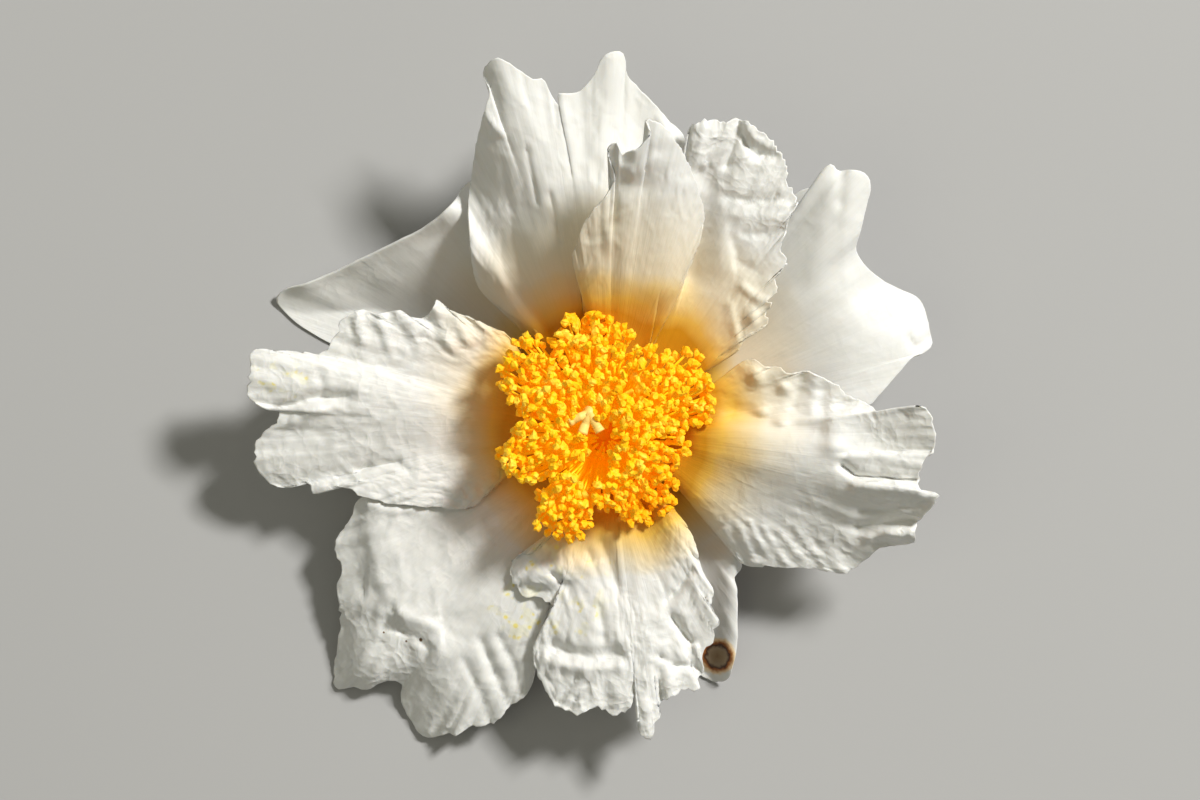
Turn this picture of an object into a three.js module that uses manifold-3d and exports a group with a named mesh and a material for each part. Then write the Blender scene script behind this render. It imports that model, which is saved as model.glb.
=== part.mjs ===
// A white semi-double camellia of the sasanqua kind, picked with a short stub of stalk
// and laid face up. Millimetres, +Z up, z = 0 is the surface that the petal tips lie on.
import * as THREE from 'three';
import { mergeVertices } from 'three/addons/utils/BufferGeometryUtils.js';
import Module from 'manifold-3d';

const wasm = await Module();
wasm.setup();

// ---- Driving dimensions ------------------------------------------------------------

// The flower's axis, which stands a little to the right of and below the bloom's middle.
const AXIS = new THREE.Vector3(1.7, -5.3, 0);

// Petals and sepals are blades of one thickness.
const BLADE = 0.7;
// Between the middle surfaces of two petals where one lies over the other.
const CLEARANCE = 1.9;
// How often the lift that this takes is evened out over the petal.
const LIFT_PASSES = 4;
const CLAW_POINTS = 4;
// Under 1, so that the rows soon have nearly as many points as the rim.
const ROW_CROWDING = 0.8;
const PETAL_ROWS = [0, 0.13, 0.28, 0.45, 0.62, 0.78, 0.91, 1];

// Where the petals' narrow claws stand round the receptacle.
const FRONT = { radius: 4.9, width: 2.7, height: 9.3 };
const BACK = { radius: 5.2, width: 3.4, height: 7.3 };

// Half sections of the round parts, [radius, height] from bottom to top.
const RECEPTACLE_PROFILE = [
  [0, 1], [1.5, 1], [1.35, 2.6], [2.7, 3.8], [3.9, 4.4], [3.9, 8.6], [3.2, 9.4], [0, 9.4],
];
const RECEPTACLE_SIDES = 20;
const OVARY_PROFILE = [[0, 9.7], [1.36, 9.7], [1.7, 10.9], [1.275, 11.9], [0.6, 12.6], [0, 12.6]];
const OVARY_SIDES = 12;

const SEPAL = {
  count: 5, length: 9, halfWidth: 4.14, root: 4.3, height: 4.9, rise: 1.5, turn: 0.35,
  // Its width follows a stretch of half a sine wave, but is never under the share narrowest.
  narrowest: 0.35, waveStart: 0.12, waveEnd: 0.86,
  // How much shorter its sides are than its middle, and how the rise is shared out.
  sideCut: 0.3, tipRise: 0.6, sideRise: 0.4,
};
// How many points stand across a sepal at some shares of its length.
const SEPAL_ROWS = [[0, 4], [0.4, 6], [0.75, 7], [1, 7]];

const STAMEN = {
  sides: 4, foot: 0.336, filament: 0.28, anther: 0.84, antherEnd: 0.462, antherLength: 1.8, spacing: 1.65,
  // Where the filament bends, as shares of its reach and of its rise.
  bendReach: 0.42, bendRise: 0.6,
  // Where along the anther it is widest.
  antherBelly: 0.45,
  // An anther leans outward by its reach over leanReach, within these two shares.
  leanReach: 12, leanLeast: 0.3, leanMost: 1,
};
const STAMEN_RING = { inner: 2.1, outer: 3.5, bottom: 9.7, top: 11, bevelDepth: 0.6, bevelWidth: 0.4 };
// The filaments' feet stand at this height in the ring, between two shares of its width.
const STAMEN_FEET = { height: 10.4, from: 0.25, to: 0.8 };
const STAMEN_DOME = { height: 22.4, fall: 0.01, jitter: 0.6 };
const STYLE = { radius: 0.5, lean: new THREE.Vector3(-2.4, 3.6, 0), root: 11.8, height: 18.4, sides: 6 };
// The arms leave the style at the share from; radii belong to the shares of an arm's length.
const STYLE_ARM = {
  length: 2.6, rise: 0.9, from: 0.97, turns: [5, 4.3, 3.6], shares: [0, 0.55, 1], radii: [0.4, 0.45, 0.575],
};
// The stamens stand at least this far from the middle of the style and of its arms.
const STYLE_ROOM = 1.4;
const SEED = 20;

// ---- Petals ------------------------------------------------------------------------

// Each rim runs anticlockwise from one side of the claw to the other. A height under
// zero means that the petal would reach the surface there, so it lies flat on it.
// curve bends the petal between claw and rim, belly crowns it, ruffle and waves frill its
// edge, and a fold is a ridge, or a groove if its lift is negative. over names the petals
// that it lies on. Back petals come first, because the others are laid over them.
const PETALS = [
  {
    name: 'petal_upper_left', whorl: BACK, angle: 144, curve: 2.2, belly: 2.2, ruffle: 0, waves: 0,
    over: [],
    rim: [
      [-3, 8, 9], [-6, 16, 10], [-10, 24, 11], [-15, 29.6, 11.5], [-19, 25.9, 11],
      [-22.5, 22.9, 10], [-27, 20.6, 9], [-32, 18.3, 7], [-37, 16, 4], [-40.5, 14.9, 0.5],
      [-42.3, 14, -1.5], [-42.7, 12.7, -2.5], [-41.7, 11.6, -2.5], [-40.2, 10.3, -1.5],
      [-38, 9, 0.5], [-35.5, 7.4, 3], [-30, 5, 5], [-23, 3.3, 7], [-16, 1.8, 8.2], [-9, -1, 8.8],
    ],
    folds: [],
  },
  {
    name: 'petal_bottom_left', whorl: BACK, angle: -138, curve: 4, belly: 2.4, ruffle: 0.5, waves: 11,
    over: [],
    rim: [
      [-8, -6.5, 9], [-14, -7.2, 10], [-21, -8.5, 10.5], [-27, -10.8, 10], [-31.5, -14, 9],
      [-32.5, -16.3, 8.5], [-34.3, -18.8, 7.5], [-34.1, -22, 7], [-34.4, -25.5, 6],
      [-33.8, -29, 4.5], [-34.2, -33, 1.5], [-34.7, -37, -3], [-34.5, -39.1, -5],
      [-32, -39, -5], [-30, -39.2, -4], [-28, -38, -1.5], [-26.8, -38, -0.5], [-25.6, -38.6, -1],
      [-25.6, -41, -2.5], [-24.4, -43.5, -4], [-23, -45.4, -5], [-21, -45.6, -4],
      [-19.3, -45.1, -1], [-18.2, -45.3, 1.5], [-16.5, -44.2, 2], [-14, -43.8, 2.5],
      [-12.3, -43, 2.5], [-11, -41.3, 3], [-9.3, -40.3, 3], [-8, -37.7, 3.5], [-7.9, -34.5, 5],
      [-6.8, -31.5, 6.5], [-4.5, -27, 8], [-2.2, -21.5, 9], [-0.6, -16.5, 9], [-0.4, -12.5, 8.5],
    ],
    folds: [
      { from: [-20.5, -34], to: [-18.5, -45], lift: 1.4, width: 1.8 },
      { from: [-25, -34.5], to: [-25.5, -38], lift: -1.2, width: 1.8 },
    ],
  },
  {
    name: 'petal_bottom_right', whorl: BACK, angle: -47, curve: 3, belly: 2, ruffle: 0, waves: 0,
    over: [],
    rim: [
      [4, -13.5, 8.5], [6, -21, 8], [8.5, -27, 6.5], [10.8, -32, 4], [13.3, -35.7, 0.5],
      [14.6, -37.5, -2], [16, -38.1, -4], [17.5, -38.2, -4], [18.4, -37.3, -3],
      [19, -35.5, -0.5], [19.4, -31, 3.5], [19.4, -26, 6.5], [19.2, -24, 8], [19.9, -22.7, 9],
      [19.3, -20.5, 9.5], [17, -16, 9.5], [14.5, -11.8, 9.2], [11.5, -8.8, 8.8],
    ],
    folds: [],
  },
  {
    name: 'petal_right', whorl: BACK, angle: 22, curve: 4, belly: 2.4, ruffle: 0, waves: 0,
    over: [],
    rim: [
      [13, -2.5, 9], [22, -2.2, 9], [31, -1.8, 8.5], [37, -1, 7.5], [38.3, 0.3, 6.5],
      [41, 3.3, 4], [43, 5.4, 0], [44.6, 6.3, -4], [45.5, 7.3, -6], [45.2, 9.5, -6],
      [44.4, 12, -3], [43.2, 13.6, 0], [40, 15.2, 5], [37.3, 17, 7.5], [35.1, 19.7, 9],
      [35.9, 23.5, 10], [37, 28.2, 11.5], [36, 30, 12], [32.8, 30.2, 12], [31.7, 31.1, 13],
      [30, 29, 12.5], [28.5, 27.8, 12], [25.5, 26, 12], [21, 19, 12], [17, 13.5, 11],
      [13, 8.5, 9.5],
    ],
    folds: [{ from: [22, 5], to: [35, 10], lift: 1.2, width: 4 }],
  },
  {
    name: 'petal_top_back', whorl: BACK, angle: 103, curve: 1.2, belly: 1, ruffle: 0.4, waves: 7,
    over: ['petal_upper_left', 'petal_right'],
    rim: [
      [6.5, 8.5, 11], [10.5, 19, 13.5], [12.2, 28, 15], [12.5, 33.5, 16], [10, 37, 17],
      [6.3, 41, 19], [4.4, 43, 20.5], [4, 45.6, 22], [2.6, 45.9, 22.5], [1.2, 45.1, 22],
      [-0.5, 42, 20], [-2.2, 40.6, 18], [-3.4, 39.9, 17], [-3.5, 37.4, 16.5], [-5, 39.6, 17.8],
      [-6.5, 42.2, 18.5], [-8.4, 42.5, 19], [-10.4, 43.3, 21], [-12.6, 45.1, 22.5],
      [-14.5, 43.3, 21.5], [-13.7, 41, 19.5], [-14.3, 37.5, 17.5], [-15.5, 33, 17],
      [-16.2, 27, 17], [-16.3, 21, 16], [-15, 14.5, 14.5], [-11.5, 11.5, 12.5], [-7.5, 9, 10.5],
    ],
    folds: [
      { from: [-3, 16], to: [-11.5, 38], lift: 1.2, width: 2.6 },
      { from: [-2.5, 24], to: [-3.6, 36], lift: -1.2, width: 2 },
      { from: [3, 28], to: [2.8, 43], lift: 1, width: 2.4 },
    ],
  },
  {
    name: 'petal_upper_right', whorl: FRONT, angle: 44, curve: 1.3, belly: 1, ruffle: 0.7, waves: 11,
    over: ['petal_right', 'petal_top_back'],
    rim: [
      [14.3, 3.4, 11.5], [17.3, 5, 13.5], [19.4, 6.5, 15.5], [20.5, 8.4, 17], [23.2, 9.8, 19],
      [23.8, 12, 19.5], [23.5, 13.3, 19], [24.7, 14.5, 20], [24.6, 16, 19.5], [25.8, 18, 20.5],
      [25, 20, 20], [25.8, 22.5, 21], [27.3, 26.3, 22], [26.1, 28.5, 21.5], [25.5, 31.3, 22],
      [23.7, 34.3, 22], [21.7, 35.8, 22.5], [20, 37.1, 22], [17.7, 36.8, 21], [15, 37, 20.5],
      [13.1, 36, 19.5], [12.5, 33, 18], [12.5, 28.5, 16.5], [12, 23, 15.5], [11, 16, 13.5],
      [9.5, 9.5, 11.5],
    ],
    folds: [{ from: [16.5, 16], to: [18, 30], lift: -1.4, width: 2.4 }],
  },
  {
    name: 'petal_top_front', whorl: FRONT, angle: 80, curve: 1.6, belly: 0, ruffle: 0.3, waves: 7,
    over: ['petal_top_back', 'petal_upper_right'],
    rim: [
      [8.3, 7.7, 11], [11.1, 13, 14], [13.3, 18.5, 17.5], [14.7, 23.5, 21], [13.9, 27.7, 24],
      [12.3, 31.5, 26.5], [10.1, 35.1, 29], [8.3, 36.5, 31], [7.4, 36, 32.5], [6.9, 34, 34],
      [5.4, 32.7, 33.5], [4, 32.3, 33], [3.2, 33.4, 33], [2.2, 33.2, 32], [2.1, 31.5, 30],
      [2.4, 28.5, 26.5], [1.3, 26.1, 24.5], [-0.3, 24.3, 23], [-1.5, 22, 21.5],
      [-2.6, 18.9, 19], [-1.7, 15.8, 17], [0.3, 12, 13.5], [1, 8, 11],
    ],
    folds: [],
  },
  {
    name: 'petal_right_front', whorl: FRONT, angle: 2, curve: 1.4, belly: 1, ruffle: 0.6, waves: 13,
    over: ['petal_right', 'petal_bottom_right'],
    rim: [
      [10.5, -10, 11], [13.5, -14.2, 11.5], [17.3, -19, 12], [20, -22.2, 12], [24, -22.7, 11],
      [29, -22.8, 10.2], [34, -23.4, 9.5], [37, -21.3, 10.5], [40, -19.6, 12.5],
      [42.9, -19, 14], [43.2, -17, 14], [44.4, -15.5, 15], [46, -12.8, 16.5],
      [43.9, -12.9, 15], [43.4, -11, 14.5], [44, -8.7, 17.5], [45.5, -6.5, 18],
      [45.3, -3.7, 18], [44.2, -1.4, 17.5], [41.8, -1.6, 16.5], [39.3, -1.8, 15],
      [36.7, -0.9, 14], [33, 1.2, 15.5], [30, 3.2, 17.5], [27, 3.3, 17.8], [24.5, 4.2, 18.5],
      [21.5, 5.1, 18.5], [19.5, 4.4, 17], [16, 1.7, 14], [12.5, -0.5, 11.5],
    ],
    folds: [
      { from: [15, -4.8], to: [33, -8], lift: 2.2, width: 2.2 },
      { from: [34, -10], to: [42, -10.8], lift: -1.8, width: 1.8 },
    ],
  },
  {
    name: 'petal_bottom_front', whorl: FRONT, angle: -80, curve: 1.2, belly: 1.5, ruffle: 0.6, waves: 15,
    over: ['petal_bottom_right', 'petal_bottom_left'],
    rim: [
      [-1.5, -12, 11], [-3.3, -15.5, 12.5], [-5.5, -18.5, 13.5], [-8, -20.7, 14.5],
      [-10.7, -21.9, 15.5], [-10.6, -24.5, 15.5], [-9.2, -26.6, 14.5], [-7.2, -26.9, 13.8],
      [-5.3, -27.9, 13], [-5.9, -30.2, 12.5], [-6.9, -32, 12], [-7.8, -34, 11.5],
      [-7.6, -36.3, 10.5], [-6.3, -38.9, 10], [-4.6, -41.2, 9.5], [-2, -42, 9.5],
      [1, -41.8, 9.5], [3.7, -42.3, 9], [5.3, -41, 9.5], [5.5, -38.9, 10.5], [6, -41, 10],
      [6.1, -43.5, 9], [6.4, -45.2, 8], [7.6, -45.7, 7.5], [7.9, -43.8, 8.5], [9, -42.7, 9.5],
      [9, -41.2, 9.5], [11.5, -39.5, 10], [14.2, -39, 9.5], [14.4, -36.8, 10],
      [14.8, -34.3, 10.5], [16.3, -31.8, 11.5], [16.9, -30.3, 12], [15.9, -28, 12.5],
      [15.8, -25.5, 12.8], [14.2, -21.5, 13], [13.2, -18.3, 13], [11.2, -15.4, 12.5],
      [7, -11, 11],
    ],
    folds: [
      { from: [5.5, -18], to: [6.5, -36], lift: 1.5, width: 2.8 },
      { from: [1.5, -17], to: [-0.5, -25], lift: -1.2, width: 1.8 },
    ],
  },
  {
    name: 'petal_left', whorl: FRONT, angle: 165, curve: 1.3, belly: 1, ruffle: 0.6, waves: 13,
    over: ['petal_bottom_left', 'petal_upper_left'],
    rim: [
      [-7, 1, 10.5], [-9.5, 5.5, 12], [-11.7, 8.6, 14], [-14, 9.5, 15.3], [-17, 11, 16],
      [-21, 13, 17.5], [-22, 11, 15.7], [-26, 11.7, 16.3], [-29, 11.2, 15.5],
      [-32.5, 11.3, 15.5], [-34, 9, 14], [-36.3, 5.9, 12.5], [-40, 6.1, 13.5],
      [-45.4, 6.2, 15], [-45.6, 3.2, 15], [-45.9, 0.2, 14], [-43.5, -1.6, 12.5],
      [-41.8, -1.8, 12], [-42.3, -3.6, 11], [-44, -4.8, 10.5], [-45.4, -7, 10],
      [-44.8, -9.6, 9.5], [-42.8, -11.9, 9.5], [-40.3, -12, 10], [-38.2, -11.5, 10.5],
      [-37.5, -12.9, 10.5], [-34.2, -12, 11], [-32, -12.4, 11.5], [-29.5, -13.6, 12],
      [-24, -14.5, 12.5], [-19, -14.8, 12.8], [-15.8, -14.6, 12.8], [-14, -12.5, 12.3],
      [-13, -10.3, 11.8], [-10, -7.5, 11], [-7.5, -5.5, 10.5],
    ],
    folds: [{ from: [-17, -0.8], to: [-34, 1], lift: 1.2, width: 2.6 }],
  },
];

// ---- Stamens -----------------------------------------------------------------------

// The boss parts into tufts: the middle, half sizes and number of anthers of each.
const TUFTS = [
  { middle: [-0.4, 7.4], half: [4.6, 4.0], count: 20 },
  { middle: [1.6, 0.6], half: [5.6, 3.4], count: 20 },
  { middle: [10.8, 0.6], half: [5.2, 5.0], count: 26 },
  { middle: [7.2, -11], half: [4.4, 5.6], count: 24 },
  { middle: [-3.9, -13.6], half: [4.2, 4.8], count: 17 },
  { middle: [-7.6, -6.8], half: [4.8, 3.8], count: 16 },
  { middle: [-8.4, 2.4], half: [4.2, 5.8], count: 19 },
];

// ---- Helpers -----------------------------------------------------------------------

/** A repeatable stream of numbers from 0 to 1. */
function seededRandom(seed) {
  let state = seed;
  return () => {
    state = (state * 1664525 + 1013904223) % 4294967296;
    return state / 4294967296;
  };
}

/** How far along a polyline each of its points lies, from 0 to 1. */
function sharesOf(points) {
  const lengths = [0];
  for (let i = 1; i < points.length; i += 1) {
    lengths.push(lengths[i - 1] + points[i].distanceTo(points[i - 1]));
  }
  return lengths.map((length) => length / lengths.at(-1));
}

/** The point at one share of a polyline's length. */
function pointAlong(points, shares, share) {
  const next = Math.max(1, shares.findIndex((value) => value >= share));
  const step = (share - shares[next - 1]) / (shares[next] - shares[next - 1]);
  return points[next - 1].clone().lerp(points[next], step);
}

/** Distance in plan from a point to the segment between two plan points. */
function distanceToSegment(x, y, [x0, y0], [x1, y1]) {
  const [dx, dy] = [x1 - x0, y1 - y0];
  const step = THREE.MathUtils.clamp(((x - x0) * dx + (y - y0) * dy) / (dx * dx + dy * dy), 0, 1);
  return Math.hypot(x - x0 - step * dx, y - y0 - step * dy);
}

/** A closed geometry as a manifold solid. */
function solidOf(geometry) {
  geometry.deleteAttribute('normal');
  geometry.deleteAttribute('uv');
  const merged = mergeVertices(geometry);
  const vertProperties = new Float32Array(merged.attributes.position.array);
  const triVerts = new Uint32Array(merged.index.array);
  return new wasm.Manifold(new wasm.Mesh({ numProp: 3, vertProperties, triVerts }));
}

/** A manifold solid as a geometry. */
function geometryOf(solid) {
  const mesh = solid.getMesh();
  return meshGeometry(Array.from(mesh.vertProperties), Array.from(mesh.triVerts));
}

function meshGeometry(positions, triangles) {
  const geometry = new THREE.BufferGeometry();
  geometry.setAttribute('position', new THREE.Float32BufferAttribute(positions, 3));
  geometry.setIndex(triangles);
  return geometry;
}

/** The triangles between two rows of points, matched by their shares across the blade. */
function stitch(inner, outer) {
  const triangles = [];
  let [i, j] = [0, 0];
  while (i < inner.length - 1 || j < outer.length - 1) {
    const innerNext = i < inner.length - 1 ? inner[i + 1].share : Infinity;
    const outerNext = j < outer.length - 1 ? outer[j + 1].share : Infinity;
    if (innerNext < outerNext) {
      triangles.push([inner[i].index, outer[j].index, inner[i + 1].index]);
      i += 1;
    } else {
      triangles.push([inner[i].index, outer[j].index, outer[j + 1].index]);
      j += 1;
    }
  }
  return triangles;
}

/**
 * A blade's middle surface. place(share, t) gives the point at one share across it and
 * at t from its root, 0, to its edge, 1.
 */
function bladeSurface(rowShares, place) {
  const points = [];
  const rows = rowShares.map(([t, shares]) => shares.map((share) => {
    points.push(place(share, t));
    return { share, index: points.length - 1 };
  }));
  const triangles = rows.slice(1).flatMap((row, i) => stitch(rows[i], row));
  const border = [
    ...rows.map((row) => row[0].index),
    ...rows.at(-1).slice(1, -1).map((spot) => spot.index),
    ...rows.map((row) => row.at(-1).index).reverse(),
    ...rows[0].slice(1, -1).map((spot) => spot.index).reverse(),
  ];
  return { points, triangles, border };
}

/** The surface's upward direction at each point. */
function normalsOf({ points, triangles }) {
  const normals = points.map(() => new THREE.Vector3());
  for (const [a, b, c] of triangles) {
    const across = points[c].clone().sub(points[a]);
    const normal = points[b].clone().sub(points[a]).cross(across);
    [a, b, c].forEach((corner) => normals[corner].add(normal));
  }
  return normals.map((normal) => normal.normalize());
}

/** A closed blade round a middle surface, flat where it would pass below z = 0. */
function bladeGeometry(surface) {
  const normals = normalsOf(surface);
  const half = BLADE / 2;
  const top = surface.points.map((point, i) => point.clone().addScaledVector(normals[i], half));
  const bottom = surface.points.map((point, i) => point.clone().addScaledVector(normals[i], -half));
  bottom.forEach((point, i) => {
    point.z = Math.max(point.z, 0);
    top[i].z = Math.max(top[i].z, point.z + BLADE);
  });
  const count = top.length;
  const triangles = surface.triangles.flat();
  for (const [a, b, c] of surface.triangles) {
    triangles.push(a + count, c + count, b + count);
  }
  surface.border.forEach((u, i) => {
    const v = surface.border[(i + 1) % surface.border.length];
    triangles.push(v, u, u + count, v, u + count, v + count);
  });
  const positions = [...top, ...bottom].flatMap((point) => point.toArray());
  return meshGeometry(positions, triangles);
}

/** A closed tube through points, with a radius at each of them. */
function tubeGeometry(points, radii, sides, roll = 0) {
  const positions = [];
  const triangles = [];
  const reference = new THREE.Vector3(Math.cos(roll), Math.sin(roll), 0);
  points.forEach((point, i) => {
    const ahead = points[Math.min(i + 1, points.length - 1)];
    const behind = points[Math.max(i - 1, 0)];
    const along = ahead.clone().sub(behind).normalize();
    const side = reference.clone().addScaledVector(along, -reference.dot(along)).normalize();
    const other = along.clone().cross(side);
    for (let k = 0; k < sides; k += 1) {
      const turn = (2 * Math.PI * k) / sides;
      const corner = point.clone().addScaledVector(side, radii[i] * Math.cos(turn));
      positions.push(...corner.addScaledVector(other, radii[i] * Math.sin(turn)).toArray());
    }
  });
  for (let i = 0; i < points.length - 1; i += 1) {
    for (let k = 0; k < sides; k += 1) {
      const [a, b] = [i * sides + k, i * sides + ((k + 1) % sides)];
      triangles.push(a, b, b + sides, a, b + sides, a + sides);
    }
  }
  const last = (points.length - 1) * sides;
  for (let k = 1; k < sides - 1; k += 1) {
    triangles.push(0, k + 1, k, last, last + k, last + k + 1);
  }
  return meshGeometry(positions, triangles);
}

/** A closed solid turned round the flower's axis from [radius, height] pairs, bottom up. */
function turnedGeometry(profile, segments) {
  const outline = profile.map(([radius, height]) => new THREE.Vector2(radius, height));
  const geometry = new THREE.LatheGeometry(outline, segments);
  geometry.rotateX(Math.PI / 2);
  geometry.translate(AXIS.x, AXIS.y, 0);
  return geometry;
}

// ---- Petals: shape -----------------------------------------------------------------

/** The middle surface of one petal, as it grows, before it is laid over others. */
function petalSurface({ whorl, angle, curve, belly, ruffle, waves, rim, folds }) {
  const edge = rim.map((point) => new THREE.Vector3(...point));
  const edgeShares = sharesOf(edge);
  const turn = THREE.MathUtils.degToRad(angle);
  const outward = new THREE.Vector3(Math.cos(turn), Math.sin(turn), 0);
  const sideways = new THREE.Vector3(-outward.y, outward.x, 0);
  const claw = AXIS.clone().addScaledVector(outward, whorl.radius);
  claw.z = whorl.height;
  const place = (share, t) => {
    const root = claw.clone().addScaledVector(sideways, (share - 0.5) * whorl.width);
    const end = pointAlong(edge, edgeShares, share);
    const point = root.clone().lerp(end, t);
    point.z = THREE.MathUtils.lerp(root.z, end.z, t ** curve);
    point.z += belly * 4 * t * (1 - t);
    point.z += ruffle * t ** 4 * Math.sin(2 * Math.PI * waves * share);
    for (const fold of folds) {
      const away = distanceToSegment(point.x, point.y, fold.from, fold.to) / fold.width;
      point.z += fold.lift * Math.exp(-away * away);
    }
    return point;
  };
  const rows = PETAL_ROWS.map((t) => {
    if (t === 1) {
      return [t, edgeShares];
    }
    const count = Math.round(THREE.MathUtils.lerp(CLAW_POINTS, edge.length, t ** ROW_CROWDING));
    return [t, Array.from({ length: count }, (_, i) => i / (count - 1))];
  });
  return bladeSurface(rows, place);
}

/** The triangle of a surface over or under a plan point, with the height there. */
function heightAt({ points, triangles }, x, y) {
  for (const corners of triangles) {
    const [a, b, c] = corners.map((corner) => points[corner]);
    const area = (b.x - a.x) * (c.y - a.y) - (c.x - a.x) * (b.y - a.y);
    const toB = ((x - a.x) * (c.y - a.y) - (c.x - a.x) * (y - a.y)) / area;
    const toC = ((b.x - a.x) * (y - a.y) - (x - a.x) * (b.y - a.y)) / area;
    if (toB >= 0 && toC >= 0 && toB + toC <= 1) {
      return { corners, height: a.z + toB * (b.z - a.z) + toC * (c.z - a.z) };
    }
  }
  return null;
}

/** Lifts one petal clear of another wherever it lies over it. */
function layOver(upper, lower) {
  for (const point of upper.points) {
    const under = heightAt(lower, point.x, point.y);
    if (under) {
      point.z = Math.max(point.z, under.height + CLEARANCE);
    }
  }
  for (const point of lower.points) {
    const above = heightAt(upper, point.x, point.y);
    const missing = above ? point.z + CLEARANCE - above.height : 0;
    if (missing > 0) {
      above.corners.forEach((corner) => {
        upper.points[corner].z += missing;
      });
    }
  }
}

/** Spreads what lifted a surface from its heights before over the points round it, save the claw's. */
function spreadLift({ points, triangles }, before) {
  for (let pass = 0; pass < LIFT_PASSES; pass += 1) {
    const lifts = points.map((point, i) => point.z - before[i]);
    const around = points.map(() => []);
    for (const [a, b, c] of triangles) {
      around[a].push(lifts[b], lifts[c]);
      around[b].push(lifts[c], lifts[a]);
      around[c].push(lifts[a], lifts[b]);
    }
    points.slice(CLAW_POINTS).forEach((point, k) => {
      const i = k + CLAW_POINTS;
      const mean = around[i].reduce((sum, lift) => sum + lift, 0) / around[i].length;
      point.z = before[i] + Math.max(lifts[i], mean);
    });
  }
}

/** Every petal's middle surface by name, each laid over those that it covers. */
function layPetals() {
  const laid = new Map();
  for (const petal of PETALS) {
    const surface = petalSurface(petal);
    const before = surface.points.map((point) => point.z);
    petal.over.forEach((name) => layOver(surface, laid.get(name)));
    spreadLift(surface, before);
    laid.set(petal.name, surface);
  }
  return laid;
}

// ---- Sepals, receptacle and pistil: shape -----------------------------------------

/** One broad pointed scale under the petals. */
function sepalGeometry(number) {
  const turn = SEPAL.turn + (2 * Math.PI * number) / SEPAL.count;
  const outward = new THREE.Vector3(Math.cos(turn), Math.sin(turn), 0);
  const sideways = new THREE.Vector3(-outward.y, outward.x, 0);
  const place = (share, t) => {
    const across = 2 * share - 1;
    const wave = Math.sin(Math.PI * THREE.MathUtils.lerp(SEPAL.waveStart, SEPAL.waveEnd, t));
    const spread = THREE.MathUtils.lerp(SEPAL.narrowest, 1, wave);
    const reach = SEPAL.length * t * (1 - SEPAL.sideCut * across * across);
    const point = AXIS.clone().addScaledVector(outward, SEPAL.root + reach);
    point.addScaledVector(sideways, across * spread * SEPAL.halfWidth);
    point.z = SEPAL.height + SEPAL.rise * t * (SEPAL.tipRise * t + SEPAL.sideRise * across * across);
    return point;
  };
  const rows = SEPAL_ROWS.map(([t, count]) => [
    t, Array.from({ length: count }, (_, i) => i / (count - 1)),
  ]);
  return bladeGeometry(bladeSurface(rows, place));
}

/** The style's middle line from the ovary to where its arms part. */
function stylePoint(t) {
  const point = AXIS.clone().addScaledVector(STYLE.lean, t * t);
  point.z = THREE.MathUtils.lerp(STYLE.root, STYLE.height, t);
  return point;
}

/** The middle line of one of the arms at the style's end. */
function armPoints(turn) {
  const outward = new THREE.Vector3(Math.cos(turn), Math.sin(turn), 0);
  return STYLE_ARM.shares.map((t) => {
    const point = stylePoint(STYLE_ARM.from).addScaledVector(outward, STYLE_ARM.length * t);
    point.z += STYLE_ARM.rise * Math.sqrt(t);
    return point;
  });
}

function pistilGeometry() {
  const stations = [0, 0.25, 0.5, 0.75, 1];
  const style = tubeGeometry(stations.map(stylePoint), stations.map(() => STYLE.radius), STYLE.sides);
  let solid = solidOf(turnedGeometry(OVARY_PROFILE, OVARY_SIDES)).add(solidOf(style));
  for (const turn of STYLE_ARM.turns) {
    solid = solid.add(solidOf(tubeGeometry(armPoints(turn), STYLE_ARM.radii, STYLE.sides)));
  }
  return geometryOf(solid);
}

// ---- Stamens: shape ----------------------------------------------------------------

/** Anther places in every tuft, each clear of those before it. */
function antherSpots(random) {
  const spots = [];
  for (const { middle, half, count } of TUFTS) {
    let placed = 0;
    for (let tries = 0; tries < 600 && placed < count; tries += 1) {
      const [u, v] = [2 * random() - 1, 2 * random() - 1];
      const spot = [middle[0] + u * half[0], middle[1] + v * half[1]];
      const free = spots.every(([x, y]) => Math.hypot(x - spot[0], y - spot[1]) > STAMEN.spacing);
      if (u * u + v * v <= 1 && free) {
        spots.push(spot);
        placed += 1;
      }
    }
  }
  return spots;
}

/** The filament's line and the anther's end for one anther place. */
function stamenLine([x, y], random) {
  const outward = new THREE.Vector3(x, y, 0).sub(AXIS);
  const reach = outward.length();
  outward.normalize();
  const across = THREE.MathUtils.lerp(STAMEN_FEET.from, STAMEN_FEET.to, random());
  const ringRadius = THREE.MathUtils.lerp(STAMEN_RING.inner, STAMEN_RING.outer, across);
  const root = AXIS.clone().addScaledVector(outward, ringRadius).setZ(STAMEN_FEET.height);
  const neck = AXIS.clone().addScaledVector(outward, reach);
  neck.z = STAMEN_DOME.height - STAMEN_DOME.fall * reach * reach;
  neck.z += STAMEN_DOME.jitter * (2 * random() - 1) - STAMEN.antherLength;
  const bendRadius = THREE.MathUtils.lerp(ringRadius, reach, STAMEN.bendReach);
  const bend = AXIS.clone().addScaledVector(outward, bendRadius);
  bend.z = THREE.MathUtils.lerp(root.z, neck.z, STAMEN.bendRise);
  const lean = THREE.MathUtils.clamp(reach / STAMEN.leanReach, STAMEN.leanLeast, STAMEN.leanMost);
  const tip = outward.clone().multiplyScalar(lean).setZ(1).normalize();
  return { root, bend, neck, tip };
}

/** The least distance from a stamen's middle line to the style and its arms. */
function roomToStyle({ root, bend, neck, tip }) {
  const end = neck.clone().addScaledVector(tip, STAMEN.antherLength);
  const stamen = new THREE.CatmullRomCurve3([root, bend, neck, end]).getPoints(16);
  const style = [...[0, 0.2, 0.4, 0.6, 0.8, 1].map(stylePoint), ...STYLE_ARM.turns.flatMap(armPoints)];
  return Math.min(...stamen.flatMap((p) => style.map((q) => p.distanceTo(q))));
}

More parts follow.
